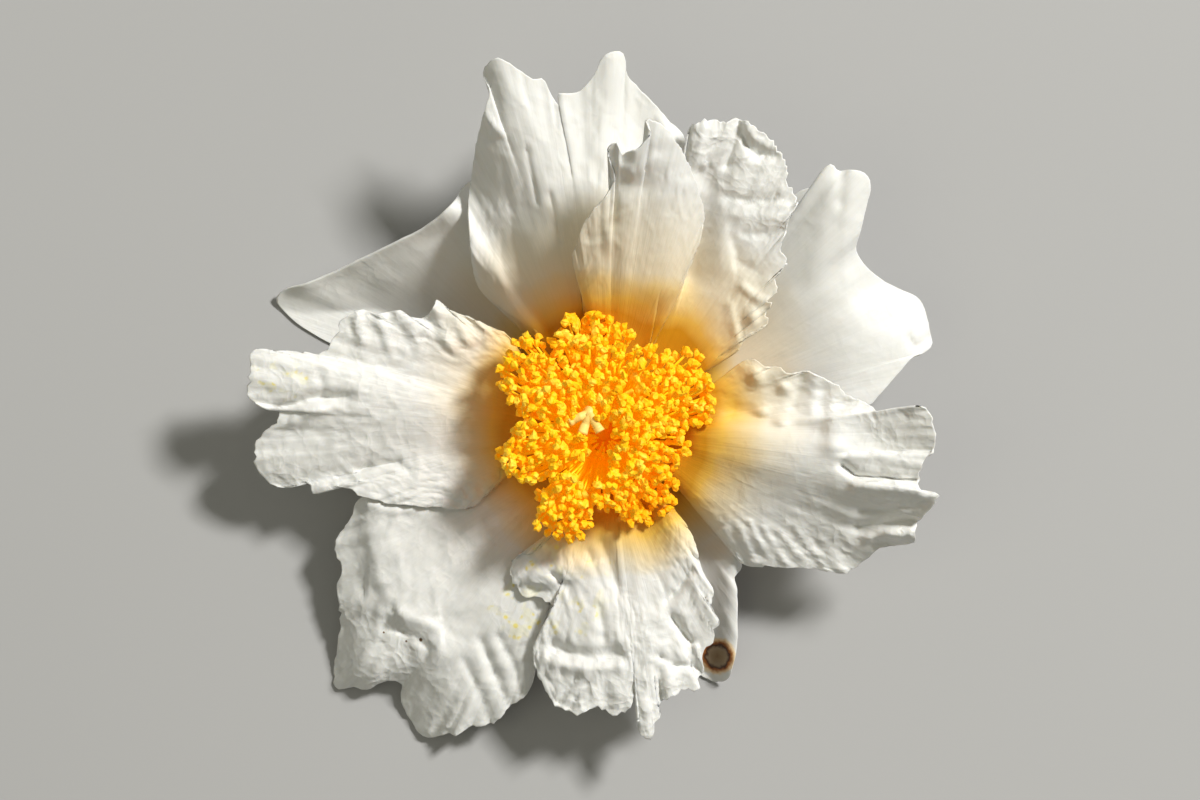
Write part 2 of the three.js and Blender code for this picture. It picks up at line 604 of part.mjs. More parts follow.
function stamenSolid({ root, bend, neck, tip }, roll) {
  const { foot, filament, anther, antherEnd, antherLength, sides } = STAMEN;
  const belly = neck.clone().addScaledVector(tip, antherLength * STAMEN.antherBelly);
  const end = neck.clone().addScaledVector(tip, antherLength);
  const radii = [foot, filament, filament, anther, antherEnd];
  return solidOf(tubeGeometry([root, bend, neck, belly, end], radii, sides, roll));
}

/** All the stamens and the low ring that joins their feet, fused into one body. */
function stamensGeometry() {
  const random = seededRandom(SEED);
  const { inner, outer, bottom, top, bevelDepth, bevelWidth } = STAMEN_RING;
  const ring = turnedGeometry([
    [inner, bottom], [outer, bottom], [outer, top - bevelDepth], [outer - bevelWidth, top],
    [inner, top], [inner, bottom],
  ], RECEPTACLE_SIDES);
  const stamens = antherSpots(random)
    .map((spot) => stamenLine(spot, random))
    .filter((line) => roomToStyle(line) > STYLE_ROOM)
    .map((line) => stamenSolid(line, random() * Math.PI));
  return geometryOf(wasm.Manifold.union([solidOf(ring), ...stamens]));
}

// ---- The flower --------------------------------------------------------------------

const flower = new THREE.Group();

function addPart(name, geometry, color, roughness) {
  const material = new THREE.MeshStandardMaterial({ color, roughness, metalness: 0 });
  const mesh = new THREE.Mesh(geometry, material);
  mesh.name = name;
  flower.add(mesh);
}

addPart('receptacle', turnedGeometry(RECEPTACLE_PROFILE, RECEPTACLE_SIDES), 0x7d8a45, 0.7);
for (let number = 0; number < SEPAL.count; number += 1) {
  addPart(`sepal_${number + 1}`, sepalGeometry(number), 0x8a7a4e, 0.75);
}
for (const [name, surface] of layPetals()) {
  addPart(name, bladeGeometry(surface), 0xf4f2ea, 0.6);
}
addPart('pistil', pistilGeometry(), 0xf3e6b8, 0.5);
addPart('stamens', stamensGeometry(), 0xf8b818, 0.65);

export default flower;
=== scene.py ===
"""A white camellia bloom, picked and laid face up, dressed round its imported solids."""
import logging
import math
from dataclasses import dataclass, field, replace
from enum import Enum

import bmesh
import bpy
import numpy as np
from mathutils import Matrix, Vector


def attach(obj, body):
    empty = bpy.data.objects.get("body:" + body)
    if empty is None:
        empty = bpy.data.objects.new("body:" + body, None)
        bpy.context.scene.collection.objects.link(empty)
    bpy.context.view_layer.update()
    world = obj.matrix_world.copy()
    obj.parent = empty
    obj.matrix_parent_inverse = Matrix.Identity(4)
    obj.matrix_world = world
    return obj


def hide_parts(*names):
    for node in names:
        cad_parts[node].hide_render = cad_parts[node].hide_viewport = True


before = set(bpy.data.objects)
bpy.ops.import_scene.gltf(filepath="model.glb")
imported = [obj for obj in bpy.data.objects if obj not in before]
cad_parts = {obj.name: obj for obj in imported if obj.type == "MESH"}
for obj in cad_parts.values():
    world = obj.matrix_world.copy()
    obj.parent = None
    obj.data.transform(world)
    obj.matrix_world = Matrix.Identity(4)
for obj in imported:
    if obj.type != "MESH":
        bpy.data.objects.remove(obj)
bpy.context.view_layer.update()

LOG = logging.getLogger("camellia")
MM = 0.001
AXIS = np.array([1.7, -5.3])  # the flower's axis in plan, in millimetres
FLOOR_GAP = 0.15  # a petal's middle surface stays this far above the surface it lies on
ROW_CROWDING = 1.2  # above 1, a petal's rows lie closer together towards its rim
RIM_BLUR = 28  # a petal's columns over the reach of the blur that takes the small turns off its rim
PLEAT_BREAKS = 2.4  # how often pleats break off between claw and rim
PLEAT_SHARE = 0.6  # of the depth that a petal's pleats are given
CRUMPLE_LENGTH = 1.9  # crumpled tissue's folds are this much longer than wide
RUFFLE_HOLD = 1.6  # above 1, the frill keeps closer to the rim

Pair = tuple[float, float]
Mark = tuple[float, float, float]
Colour = tuple[float, float, float]
Socket = bpy.types.NodeSocket
Groups = dict[str, bpy.types.NodeTree]
Surface = tuple[dict[str, Socket], tuple[tuple[Socket, float, float], ...]]


class Slot(Enum):
    """The record's material slots."""

    PETAL = "petal_white"
    STAMEN = "stamen_yellow"
    STYLE = "style_cream"
    SEPAL = "sepal_brown"
    STALK = "stalk_green"


# ---- Noise and small numeric helpers ---------------------------------------------------


def smooth_step(low: float, high: float, value: np.ndarray) -> np.ndarray:
    """Rises smoothly from 0 at low to 1 at high."""
    share = np.clip((value - low) / (high - low), 0.0, 1.0)
    return share * share * (3.0 - 2.0 * share)


def box_blur(values: np.ndarray, reach: int, axis: int) -> np.ndarray:
    """Mean over a window along one axis, with the ends repeated.

    Args:
        values: Two-dimensional array.
        reach: Samples on each side of the middle one.
        axis: The axis to blur along.

    Returns:
        An array of the same shape.
    """
    if reach < 1:
        return values
    pad = [(0, 0)] * values.ndim
    pad[axis] = (reach + 1, reach)
    total = np.cumsum(np.pad(values, pad, mode="edge"), axis=axis)
    width = 2 * reach + 1
    high = np.take(total, range(width, total.shape[axis]), axis=axis)
    low = np.take(total, range(0, total.shape[axis] - width), axis=axis)
    return (high - low) / width


def soften(values: np.ndarray, across: int, along: int, passes: int = 2) -> np.ndarray:
    """Blurs a grid of rows and columns towards a bell shape.

    Args:
        values: Two-dimensional array.
        across: Samples on each side along a row.
        along: Samples on each side along a column.
        passes: How many times over.

    Returns:
        An array of the same shape.
    """
    for _ in range(passes):
        values = box_blur(box_blur(values, across, 1), along, 0)
    return values


def widest(values: np.ndarray, reach: int) -> np.ndarray:
    """The greatest value nearby.

    Args:
        values: Two-dimensional array.
        reach: Samples on each side, in both directions.

    Returns:
        An array of the same shape.
    """
    best = values.copy()
    for axis in (0, 1):
        now = best.copy()
        for step in range(1, reach + 1):
            for turn in (step, -step):
                moved = np.roll(now, turn, axis)
                edge = [slice(None)] * 2
                edge[axis] = slice(0, step) if turn > 0 else slice(-step, None)
                moved[tuple(edge)] = -np.inf
                best = np.maximum(best, moved)
    return best


class Noise:
    """Seeded gradient noise on a plane, from about -1 to 1."""

    def __init__(self, seed: int) -> None:
        """Draws the lattice once.

        Args:
            seed: Of its draws.
        """
        draw = np.random.default_rng(seed)
        self.order = draw.permutation(256)
        self.turns = draw.random(256) * 2 * np.pi

    def _corner(self, ix: np.ndarray, iy: np.ndarray, dx: np.ndarray, dy: np.ndarray) -> np.ndarray:
        """The share of one lattice corner."""
        turn = self.turns[self.order[(self.order[ix & 255] + iy) & 255]]
        return np.cos(turn) * dx + np.sin(turn) * dy

    def at(self, x: np.ndarray, y: np.ndarray) -> np.ndarray:
        """The noise at points of the plane.

        Args:
            x: Their first coordinates, in lattice steps.
            y: Their second coordinates.

        Returns:
            Values from about -1 to 1.
        """
        ix, iy = np.floor(x).astype(int), np.floor(y).astype(int)
        fx, fy = x - ix, y - iy
        ux, uy = fx * fx * (3 - 2 * fx), fy * fy * (3 - 2 * fy)
        south = self._corner(ix, iy, fx, fy) * (1 - ux) + self._corner(ix + 1, iy, fx - 1, fy) * ux
        north = (
            self._corner(ix, iy + 1, fx, fy - 1) * (1 - ux)
            + self._corner(ix + 1, iy + 1, fx - 1, fy - 1) * ux
        )
        return 1.5 * (south * (1 - uy) + north * uy)

    def layers(self, x: np.ndarray, y: np.ndarray, count: int = 3) -> np.ndarray:
        """Noise in several scales, each finer one weaker."""
        return sum(self.at(x * 2**k + 19.7 * k, y * 2**k - 7.3 * k) / 2**k for k in range(count))

    def ridges(self, x: np.ndarray, y: np.ndarray, count: int = 3) -> np.ndarray:
        """Sharp crests with rounded hollows between them, as in crumpled tissue.

        Args:
            x: The points' first coordinates, in steps of the widest crests.
            y: Their second coordinates.
            count: How many scales, each finer one weaker.

        Returns:
            The height at each point.
        """
        total = 0.0
        for k in range(count):
            total = total + (0.5 - np.abs(self.at(x * 2**k + 5.1 * k, y * 2**k + 9.9 * k))) / 1.8**k
        return total


# ---- Petals: shape ---------------------------------------------------------------------


@dataclass(frozen=True)
class Whorl:
    """Where a ring of petals is fixed, in millimetres."""

    radius: float
    width: float
    height: float


FRONT = Whorl(radius=4.9, width=2.7, height=9.3)
BACK = Whorl(radius=5.2, width=3.4, height=7.3)


@dataclass(frozen=True)
class Crease:
    """A ridge along a line in plan, or a groove where its lift is negative.

    left and right are its widths on the two sides, seen along the line, and sharp turns
    its rounded crest into an edge.
    """

    line: tuple[Pair, ...]
    lift: float
    left: float
    right: float
    sharp: float = 0.0
    sharpness: float = 1.7

    def lift_at(self, x: np.ndarray, y: np.ndarray) -> np.ndarray:
        """How far it raises plan points.

        Args:
            x: Their first coordinates, in millimetres.
            y: Their second coordinates.

        Returns:
            The lift at each of them, in millimetres.
        """
        best = np.full(x.shape, np.inf)
        side = np.zeros(x.shape)
        for (x0, y0), (x1, y1) in zip(self.line, self.line[1:]):
            dx, dy = x1 - x0, y1 - y0
            step = np.clip(((x - x0) * dx + (y - y0) * dy) / (dx * dx + dy * dy), 0, 1)
            away = np.hypot(x - x0 - step * dx, y - y0 - step * dy)
            nearer = away < best
            best = np.where(nearer, away, best)
            side = np.where(nearer, dx * (y - y0) - dy * (x - x0), side)
        share = best / np.where(side > 0, self.left, self.right)
        round_crest = np.exp(-share * share)
        return self.lift * ((1 - self.sharp) * round_crest + self.sharp * np.exp(-self.sharpness * share))


@dataclass(frozen=True)
class Dimple:
    """A rounded bump at a plan point, or a hollow where its lift is negative."""

    middle: Pair
    half: Pair
    lift: float

    def lift_at(self, x: np.ndarray, y: np.ndarray) -> np.ndarray:
        """How far it raises plan points.

        Args:
            x: Their first coordinates, in millimetres.
            y: Their second coordinates.

        Returns:
            The lift at each of them, in millimetres.
        """
        u = (x - self.middle[0]) / self.half[0]
        v = (y - self.middle[1]) / self.half[1]
        return self.lift * np.exp(-(u * u + v * v))


@dataclass
class Petal:
    """One petal, spread from its narrow claw to its rim.

    The rim runs anticlockwise, in millimetres. curve bends the petal between claw and rim
    and belly crowns it. pleats are radial folds, crumple is creased tissue, ruffle frills
    the margin and nick makes its edge uneven, each as a size and a height or depth. Each of
    them grows between two shares of the way from claw to rim.
    """

    node: str
    whorl: Whorl
    angle: float
    rim: tuple[Mark, ...]
    curve: float
    belly: float
    over: tuple[str, ...] = ()
    pleats: Pair = (2.4, 0.25)
    crumple: Pair = (3.0, 0.15)
    ruffle: Pair = (2.5, 0.3)
    nick: Pair = (0.9, 0.12)
    margin: float = 0.55
    nick_grows: Pair = (0.8, 1.0)
    pleats_grow: Pair = (0.2, 1.0)
    crumple_grows: Pair = (0.2, 0.85)
    ruffle_grows: Pair = (0.7, 1.0)
    details_grow: Pair = (0.04, 0.2)
    creased: bool = False
    details: tuple[Crease | Dimple, ...] = ()
    columns: int = 190
    rows: int = 100
    thickness: float = 0.28
    surface: np.ndarray = field(default_factory=lambda: np.zeros((0, 0, 3)))

    def edge_line(self) -> np.ndarray:
        """The rim as evenly spaced points of one smooth curve.

        Returns:
            A row of x, y and z for each column of the petal.
        """
        points = np.array(self.rim, dtype=float)
        padded = np.vstack([2 * points[0] - points[1], points, 2 * points[-1] - points[-2]])
        fine = []
        for p0, p1, p2, p3 in zip(padded, padded[1:], padded[2:], padded[3:]):
            steps = np.sqrt([np.linalg.norm(p1 - p0), np.linalg.norm(p2 - p1), np.linalg.norm(p3 - p2)])
            t1, t2, t3 = np.cumsum(np.maximum(steps, 1e-3))
            t = np.linspace(t1, t2, 12, endpoint=False)[:, None]
            a1 = (t1 - t) / t1 * p0 + t / t1 * p1
            a2 = (t2 - t) / (t2 - t1) * p1 + (t - t1) / (t2 - t1) * p2
            a3 = (t3 - t) / (t3 - t2) * p2 + (t - t2) / (t3 - t2) * p3
            b1 = (t2 - t) / t2 * a1 + t / t2 * a2
            b2 = (t3 - t) / (t3 - t1) * a2 + (t - t1) / (t3 - t1) * a3
            fine.append((t2 - t) / (t2 - t1) * b1 + (t - t1) / (t2 - t1) * b2)
        line = np.vstack([*fine, points[-1:]])
        run = np.concatenate([[0], np.cumsum(np.linalg.norm(np.diff(line, axis=0), axis=1))])
        want = np.linspace(0, run[-1], self.columns)
        return np.stack([np.interp(want, run, line[:, k]) for k in range(3)], axis=1)

    def spread(self, seed: int) -> None:
        """Makes the petal's middle surface as it grows, before it is laid over others.

        Args:
            seed: Of its own noise.
        """
        rough = Noise(seed)
        edge = self.edge_line()
        length = np.linalg.norm(np.diff(edge, axis=0), axis=1).sum()
        share = np.linspace(0, 1, self.columns)[None, :]
        t = 1 - (1 - np.linspace(0, 1, self.rows)[:, None]) ** ROW_CROWDING
        turn = math.radians(self.angle)
        out = np.array([math.cos(turn), math.sin(turn)])
        side = np.array([-out[1], out[0]])
        claw = (AXIS + out * self.whorl.radius) + (share[0][:, None] - 0.5) * self.whorl.width * side
        # The rim's small turns reach in only as far as the margin.
        plain = soften(edge.T, max(1, self.columns // RIM_BLUR), 0, 3).T
        fade = smooth_step(self.margin, 1.0, t)[..., None]
        end = plain[None] * (1 - fade) + edge[None] * fade
        arc = share * length
        # Rays run from the claw to the rim, and their ends are nicked.
        ray = end[..., :2] - claw[None]
        reach = np.linalg.norm(ray, axis=2)
        size, depth = self.nick
        ragged = rough.layers(arc / size, arc * 0 + 3.3, 2) * depth * smooth_step(*self.nick_grows, t)
        plan = claw[None] + ray * (t + ragged / reach)[..., None]
        x, y = plan[..., 0], plan[..., 1]
        # The bend and the crown, then radial pleats, crumpled tissue and the frilled margin.
        # Shifts such as 53 only keep one noise apart from another.
        z = self.whorl.height + (end[..., 2] - self.whorl.height) * t**self.curve
        z = z + self.belly * 4 * t * (1 - t)
        size, depth = self.pleats
        pleats = rough.ridges(arc / size, t * PLEAT_BREAKS, 2)
        z = z + PLEAT_SHARE * depth * pleats * smooth_step(*self.pleats_grow, t)
        size, depth = self.crumple
        along = (x * out[0] + y * out[1]) / (CRUMPLE_LENGTH * size) + 0.35 * rough.at(x / 4.1, y / 4.1 + 53)
        across = (x * side[0] + y * side[1]) / size + 0.45 * rough.at(x / 4.7 + 17, y / 4.7)
        z = z + depth * rough.ridges(across + 31, along, 3) * smooth_step(*self.crumple_grows, t)
        size, depth = self.ruffle
        frill = rough.layers(arc / size, t * 2 + 71, 2)
        z = z + depth * frill * smooth_step(*self.ruffle_grows, t) ** RUFFLE_HOLD
        for detail in self.details:
            z = z + detail.lift_at(x, y) * smooth_step(*self.details_grow, t)
        self.surface = np.stack([x, y, np.maximum(z, FLOOR_GAP)], axis=2)

    def lay_over(self, cover: "Cover", gap: float) -> None:
        """Lifts the petal clear of what it covers.

        Args:
            cover: The heights of the petals below.
            gap: Between the middle surfaces, in millimetres.
        """
        x, y, z = np.moveaxis(self.surface, 2, 0)
        # The lift spreads past where it is needed, so that it leaves no step.
        below = cover.height_at(x, y)
        lift = np.where(np.isfinite(below), np.maximum(below + gap - z, 0), 0)
        lift = soften(widest(lift, 4), 5, 3, 3)
        t = np.linspace(0, 1, self.rows)[:, None]
        self.surface[..., 2] = z + lift * smooth_step(0.0, 0.1, t)

    def mesh(self) -> bpy.types.Mesh:
        """The petal's middle surface with its own UV map.

        Returns:
            A new mesh, in metres.
        """
        grid = bmesh.new()
        bmesh.ops.create_grid(grid, x_segments=self.columns - 1, y_segments=self.rows - 1, size=0.5)
        mesh = to_mesh(grid, self.node, outward=False)
        share = places_of(mesh)[:, :2] + 0.5
        column = np.rint(share[:, 0] * (self.columns - 1)).astype(int)
        row = np.rint(share[:, 1] * (self.rows - 1)).astype(int)
        mesh.vertices.foreach_set("co", (self.surface[row, column] * MM).ravel())
        corners = np.empty(len(mesh.loops), dtype=int)
        mesh.loops.foreach_get("vertex_index", corners)
        layer = mesh.uv_layers.new(name="petal")
        layer.uv.foreach_set("vector", share[corners].ravel())
        mesh.update()
        return mesh


class Cover:
    """The highest middle surface at each spot of a fine plan grid, in millimetres."""

    cell = 0.4
    half = 60.0
    steps = (0.0, 0.34, 0.67)  # each quad of a surface is sampled at these shares both ways

    def __init__(self) -> None:
        """Starts with nothing laid."""
        count = int(2 * self.half / self.cell)
        self.heights = np.full((count, count), -np.inf)

    def index(self, x: np.ndarray, y: np.ndarray) -> tuple[np.ndarray, np.ndarray]:
        """The cells that hold plan points."""
        return tuple(((v + self.half) / self.cell).astype(int) for v in (y, x))

    def add(self, surface: np.ndarray) -> None:
        """Lays one petal's middle surface.

        Args:
            surface: Its points by row and column.
        """
        a, b = surface[:, :-1], surface[:, 1:]
        for across in self.steps:
            side = a + (b - a) * across
            for along in self.steps:
                spot = side[:-1] + (side[1:] - side[:-1]) * along
                rows, columns = self.index(spot[..., 0], spot[..., 1])
                np.maximum.at(self.heights, (rows, columns), spot[..., 2])

    def height_at(self, x: np.ndarray, y: np.ndarray) -> np.ndarray:
        """The height laid so far at plan points, or minus infinity where nothing lies."""
        return self.heights[self.index(x, y)]


PETALS: tuple[Petal, ...] = (
    Petal(
        node="petal_upper_left", whorl=BACK, angle=144, curve=0.8, belly=-0.8,
        columns=130, rows=70, pleats=(5.0, 0.15), crumple=(6.0, 0.1), ruffle=(5.0, 0.15), nick=(1.6, 0.06),
        rim=(
            (-3, 8, 7), (-6, 16, 7), (-10, 24, 7), (-13, 27.5, 8), (-16.3, 29, 9),
            (-19, 25.7, 10), (-22.5, 22.8, 9.6), (-26.5, 20.8, 8.4), (-31, 18.7, 6.6), (-35, 16.8, 4.6),
            (-39, 15.2, 3.2), (-41.5, 14.5, 1.6), (-42.6, 13.2, 0.6), (-41.7, 11.8, 0.2), (-40.2, 10.3, 0.3),
            (-38.3, 9, 0.6), (-35.5, 7.4, 0), (-30, 5, 0.3), (-23, 3.3, 1.2), (-16, 1.8, 3), (-9, -1, 6),
        ),
        details=(
            Dimple((-18.6, 25), (4.0, 2.6), 2.6),
            Crease(((-12, 13), (-21, 10.5), (-28, 9)), -4.5, 7.5, 8.0),
            Crease(((-22, 23.5), (-30, 19), (-39, 15.3)), 0.5, 1.0, 1.5),
        ),
    ),
    Petal(
        node="petal_bottom_left", whorl=BACK, angle=-138, curve=3.2, belly=2.1, creased=True,
        pleats=(2.6, 0.15), crumple=(2.4, 0.32), ruffle=(2.2, 0.45), nick=(0.8, 0.3),
        rim=(
            (-8, -6.5, 8.6), (-14, -7.2, 9), (-21, -8.5, 9.2), (-27, -10.8, 9), (-31.5, -14, 7.8),
            (-32.5, -16.3, 6.5), (-34.2, -18.8, 5.5), (-34.4, -21, 5), (-33.7, -23, 5),
            (-34.3, -25.5, 4), (-33.8, -29, 3), (-34.1, -32.5, 1.5), (-34.7, -36.5, 0),
            (-34.5, -39, 0), (-32.3, -39, 0), (-30.2, -39.2, 0.5), (-28.7, -38.3, 1), (-27, -38, 1.5),
            (-25.6, -38.4, 1), (-25.8, -40.5, 0.5), (-24.5, -43.3, 0), (-23, -45.3, 0),
            (-21, -45.6, 0.5), (-19.3, -45.1, 2), (-18.2, -45.3, 3), (-16.7, -44.3, 3.2),
            (-14.5, -44, 3.8), (-12.7, -43.3, 4.4), (-11, -41.3, 5.2), (-9.3, -40.3, 5.8), (-8, -37.7, 6),
            (-7.9, -35, 6.2), (-7, -32, 6.8), (-4.5, -27, 8), (-2.2, -21.5, 9), (-0.6, -16.5, 9),
            (-0.4, -12.5, 8.5),
        ),
        details=(
            Crease(((-30, -16.5), (-29.2, -20.5), (-28.4, -24), (-27, -27)), 1.1, 5, 1.5, 0.1),
            Crease(((-30.6, -28.5), (-31, -33), (-31.4, -38)), 1.0, 4.0, 2.4),
            Crease(((-19.8, -35), (-19.2, -40), (-18.4, -45)), 0.7, 3.0, 6.0, 0.1),
            Crease(((-28.5, -36.6), (-24.5, -35.4), (-21.2, -33.6)), 1.0, 2.4, 2.6),
            Crease(((-15, -32.5), (-12.9, -37.5), (-11.4, -41)), -0.7, 0.9, 0.8, 0.4),
            Crease(((-17.3, -35), (-14.9, -40), (-13.6, -43.6)), -0.5, 0.7, 0.7, 0.4),
            Crease(((-12.6, -32), (-10.4, -36), (-9.4, -39.5)), -0.6, 0.9, 0.8, 0.4),
            Crease(((-28.5, -28.7), (-25, -29.3), (-21.5, -30.6)), 0.6, 0.8, 0.8, 0.3),
            Crease(((-27.5, -31), (-24, -31.7), (-22, -33.6)), -0.4, 0.6, 0.6, 0.4),
            Crease(((-31, -13.8), (-27, -15.2), (-24, -15)), 0.5, 0.6, 0.6, 0.3),
        ),
    ),
    Petal(
        node="petal_bottom_right", whorl=BACK, angle=-47, curve=2.0, belly=0.5,
        columns=120, rows=80, pleats=(4.0, 0.15), crumple=(4.0, 0.12), ruffle=(3.0, 0.15), nick=(1.0, 0.1),
        rim=(
            (4, -13.5, 8.5), (6, -21, 6.5), (8.5, -27, 4), (10.8, -32, 1.8), (13.3, -35.5, 0.4),
            (14.6, -37.4, 0), (16, -38.1, 0), (17.3, -38.2, 0), (18.3, -37.7, 0.2), (18.9, -36, 0.8),
            (19.3, -33.7, 1.6), (19.4, -29.7, 2.8), (19.3, -25.7, 3.8), (19, -24, 4.2), (19.9, -22.7, 4.4),
            (19.5, -21, 4.8), (17, -16, 5.8), (14.5, -11.8, 7), (11.5, -8.8, 8),
        ),
        details=(
            Crease(((19.2, -22), (19.3, -30), (19.1, -36)), 2.8, 0.8, 2.6),
            Crease(((13, -20), (15.5, -31), (16.3, -36)), -1.0, 2.4, 2.4),
        ),
    ),
    Petal(
        node="petal_right", whorl=BACK, angle=22, curve=2.6, belly=1.2,
        columns=150, rows=80, pleats=(5.0, 0.15), crumple=(6.0, 0.12), ruffle=(4.0, 0.18), nick=(1.4, 0.07),
        rim=(
            (13, -2.5, 9), (22, -2.2, 9), (31, -1.8, 8.5), (37, -1, 8), (38.3, 0.3, 7.4), (41, 3.4, 5.8),
            (42.7, 5.3, 5), (44.3, 6, 4.2), (45.4, 7, 3.8), (45, 9.3, 3.8), (44.3, 12, 4.4),
            (43.4, 13.4, 5), (41.4, 14.3, 5.8), (39, 15.5, 6), (36.7, 17.3, 7.2), (35.1, 19.7, 8),
            (35.7, 22.3, 9.5), (36.5, 25.7, 10.5), (37, 28.2, 11.2), (36.3, 29.8, 12), (34.6, 30.3, 12.5),
            (32.7, 30.2, 12), (31.8, 31.1, 13), (30.5, 30, 12.5), (29.4, 28.2, 12), (27.4, 27.4, 12),
            (24, 24, 12), (21, 19, 12), (17, 13.5, 11), (13, 8.5, 9.5),
        ),
        details=(
            Crease(((33.6, 27), (33.6, 14), (36, 9.4), (42, 8)), 6.8, 13.0, 11.0, 0.1),
            Crease(((29.6, 17), (31, 23), (32, 28.6)), 0.3, 1.8, 1.6),
            Crease(((32.9, 26), (33.4, 30)), -0.5, 0.7, 0.7),
            Crease(((34, 24), (34.6, 29.5)), 0.25, 1.2, 1.2),
            Crease(((42.2, 7.9), (43.2, 6.6), (45, 8)), -0.7, 0.5, 0.5, 0.4),
        ),
    ),
    Petal(
        node="petal_top_back", whorl=BACK, angle=103, curve=0.8, belly=0.0,
        over=("petal_upper_left", "petal_right"),
        pleats=(3.0, 0.07), crumple=(3.0, 0.22), ruffle=(2.2, 0.3), nick=(1.0, 0.15),
        rim=(
            (6.5, 8.5, 11), (10, 18, 12.5), (12, 27, 14.5), (12.5, 33, 15.5), (12, 35, 16), (10, 37, 16.5),
            (8.3, 39, 17), (6.3, 41, 17.7), (4.6, 43, 18.7), (4, 45.6, 20), (2.6, 45.9, 20.7),
            (1.4, 45.2, 20.7), (0, 42.5, 19.7), (-2, 40.6, 19), (-4.6, 40.3, 19.5), (-4.2, 39.4, 19),
            (-3.3, 37.4, 18.3), (-4.4, 38.7, 19), (-5.7, 40.5, 19.5), (-6.5, 42.2, 20),
            (-8.2, 42.4, 20.5), (-10, 43.6, 21.2), (-12.6, 45, 21.8), (-14.5, 43.2, 20),
            (-13.7, 41, 20), (-14.3, 38, 19), (-15.4, 34, 16.2), (-16, 30, 13.4), (-16.5, 27, 12.2),
            (-16.6, 24.5, 12.2), (-16.4, 22, 13), (-16.2, 19.5, 11.8), (-15, 14.5, 7.6), (-11.5, 11.5, 8.4),
            (-7.5, 9, 9.6),
        ),
        details=(
            Crease(((-2, 20), (-2.6, 26), (-5, 31.5), (-8.8, 37), (-12, 43.5)), 2.3, 9.0, 22.0, 0.2),
            Crease(((-9.5, 16), (-11, 25), (-12.3, 34)), -0.25, 0.8, 0.8, 0.3),
            Crease(((-12, 15), (-13.3, 21)), 0.2, 0.7, 0.7, 0.3),
            Crease(((-14.8, 15), (-16.2, 20)), 0.25, 0.4, 0.5),
            Dimple((-14.6, 24.4), (3.6, 2.4), 0.7),
            Crease(((1.5, 33), (2.2, 38), (2.8, 45)), 0.5, 1.6, 3.0),
            Crease(((-7.3, 26), (-8.7, 33)), -0.4, 0.4, 0.4, 0.4),
            Crease(((-4.4, 21), (-5.6, 27)), -0.4, 0.5, 0.4, 0.4),
            Crease(((-14.3, 37.4), (-12, 35)), 0.5, 0.5, 0.5, 0.4),
            Crease(((9.3, 36.5), (11.4, 32.5)), 0.7, 0.9, 0.9),
            Dimple((4.2, 36), (4.5, 6), -1.2),
            Dimple((-9.3, 25.5), (2.4, 3.2), -0.9),
            Dimple((-12, 35.6), (2.2, 3.0), 0.5),
        ),
    ),
    Petal(
        node="petal_upper_right", whorl=FRONT, angle=44, curve=1.3, belly=1.2, creased=True,
        over=("petal_right", "petal_top_back"),
        pleats=(2.6, 0.15), crumple=(2.2, 0.17), ruffle=(1.1, 0.4), nick=(0.45, 0.5),
        rim=(
            (14.3, 3.4, 11.3), (17.3, 5, 12.8), (19.3, 6.3, 14.3), (20.3, 8.3, 15.4), (21.9, 9, 16),
            (23.4, 10, 16.6), (22.9, 11.7, 16.4), (23.9, 12.2, 17), (23.4, 13.4, 16.8), (24.7, 14.3, 17.3),
            (24.3, 15.7, 17.1), (25.8, 18, 17.7), (25, 19.7, 17.6), (25.7, 22, 18), (26.3, 24, 18.3),
            (27.3, 26.3, 18.5), (26.1, 28.3, 18.7), (25.7, 31, 19.1), (24.6, 32.7, 19.5), (23.7, 34.3, 19.7),
            (21.7, 35.7, 20.2), (20.3, 36.9, 20.4), (19, 37.1, 20.4), (17.7, 36.7, 20.4), (15.7, 37, 20.4),
            (14.3, 36.7, 20.2), (13, 35.9, 19.8), (12.6, 34.3, 19.2), (12.6, 31.7, 18.4),
            (12.5, 28.5, 17.5), (12, 23, 16), (11, 16, 13.8), (9.5, 9.5, 11.5),
        ),
        details=(
            Crease(((12.4, 17), (13.9, 24), (14.7, 29.5)), -2.2, 1.1, 3.0),
            Crease(((13.4, 28), (14.6, 35.5)), 0.9, 1.3, 1.6),
            Crease(((16.6, 30), (17.2, 27), (17.3, 23), (18.4, 19)), 0.32, 0.8, 2.6, 0.2),
            Crease(((17.9, 31), (18.8, 34), (19.6, 37)), -1.0, 0.7, 0.7, 0.4),
            Crease(((19.8, 36.4), (20.3, 34), (21.5, 32.3), (24, 32.2)), -0.9, 0.7, 0.7, 0.4),
            Crease(((20.3, 36.3), (21.3, 34.5), (23, 33.6)), 0.9, 0.8, 0.8, 0.3),
            Crease(((17.5, 26.8), (21, 26.2), (26, 26.5)), -0.4, 0.6, 0.6, 0.4),
            Crease(((18.5, 24.4), (22, 24.2), (26, 24)), 0.3, 0.9, 0.9, 0.3),
            Crease(((20, 21.8), (23, 21.6), (25.6, 22.2)), -0.4, 0.6, 0.6, 0.5),
            Crease(((18.5, 21), (19.5, 18), (22, 16.6)), -0.35, 0.8, 0.9, 0.2),
            Crease(((20, 14.8), (22, 13.2), (24, 12.6)), 0.6, 0.6, 0.6, 0.4),
            Crease(((18.4, 12.3), (19, 9), (19.6, 7)), 0.35, 0.6, 0.9, 0.3),
            Dimple((21.3, 10.8), (0.9, 1.0), 0.9),
            Dimple((22.3, 33.6), (1.6, 1.3), -0.9),
        ),
    ),
    Petal(
        node="petal_top_front", whorl=FRONT, angle=80, curve=1.05, belly=0.0,
        over=("petal_top_back", "petal_upper_right"),
        pleats=(2.6, 0.05), crumple=(2.6, 0.26), ruffle=(1.8, 0.35), nick=(0.8, 0.25),
        rim=(
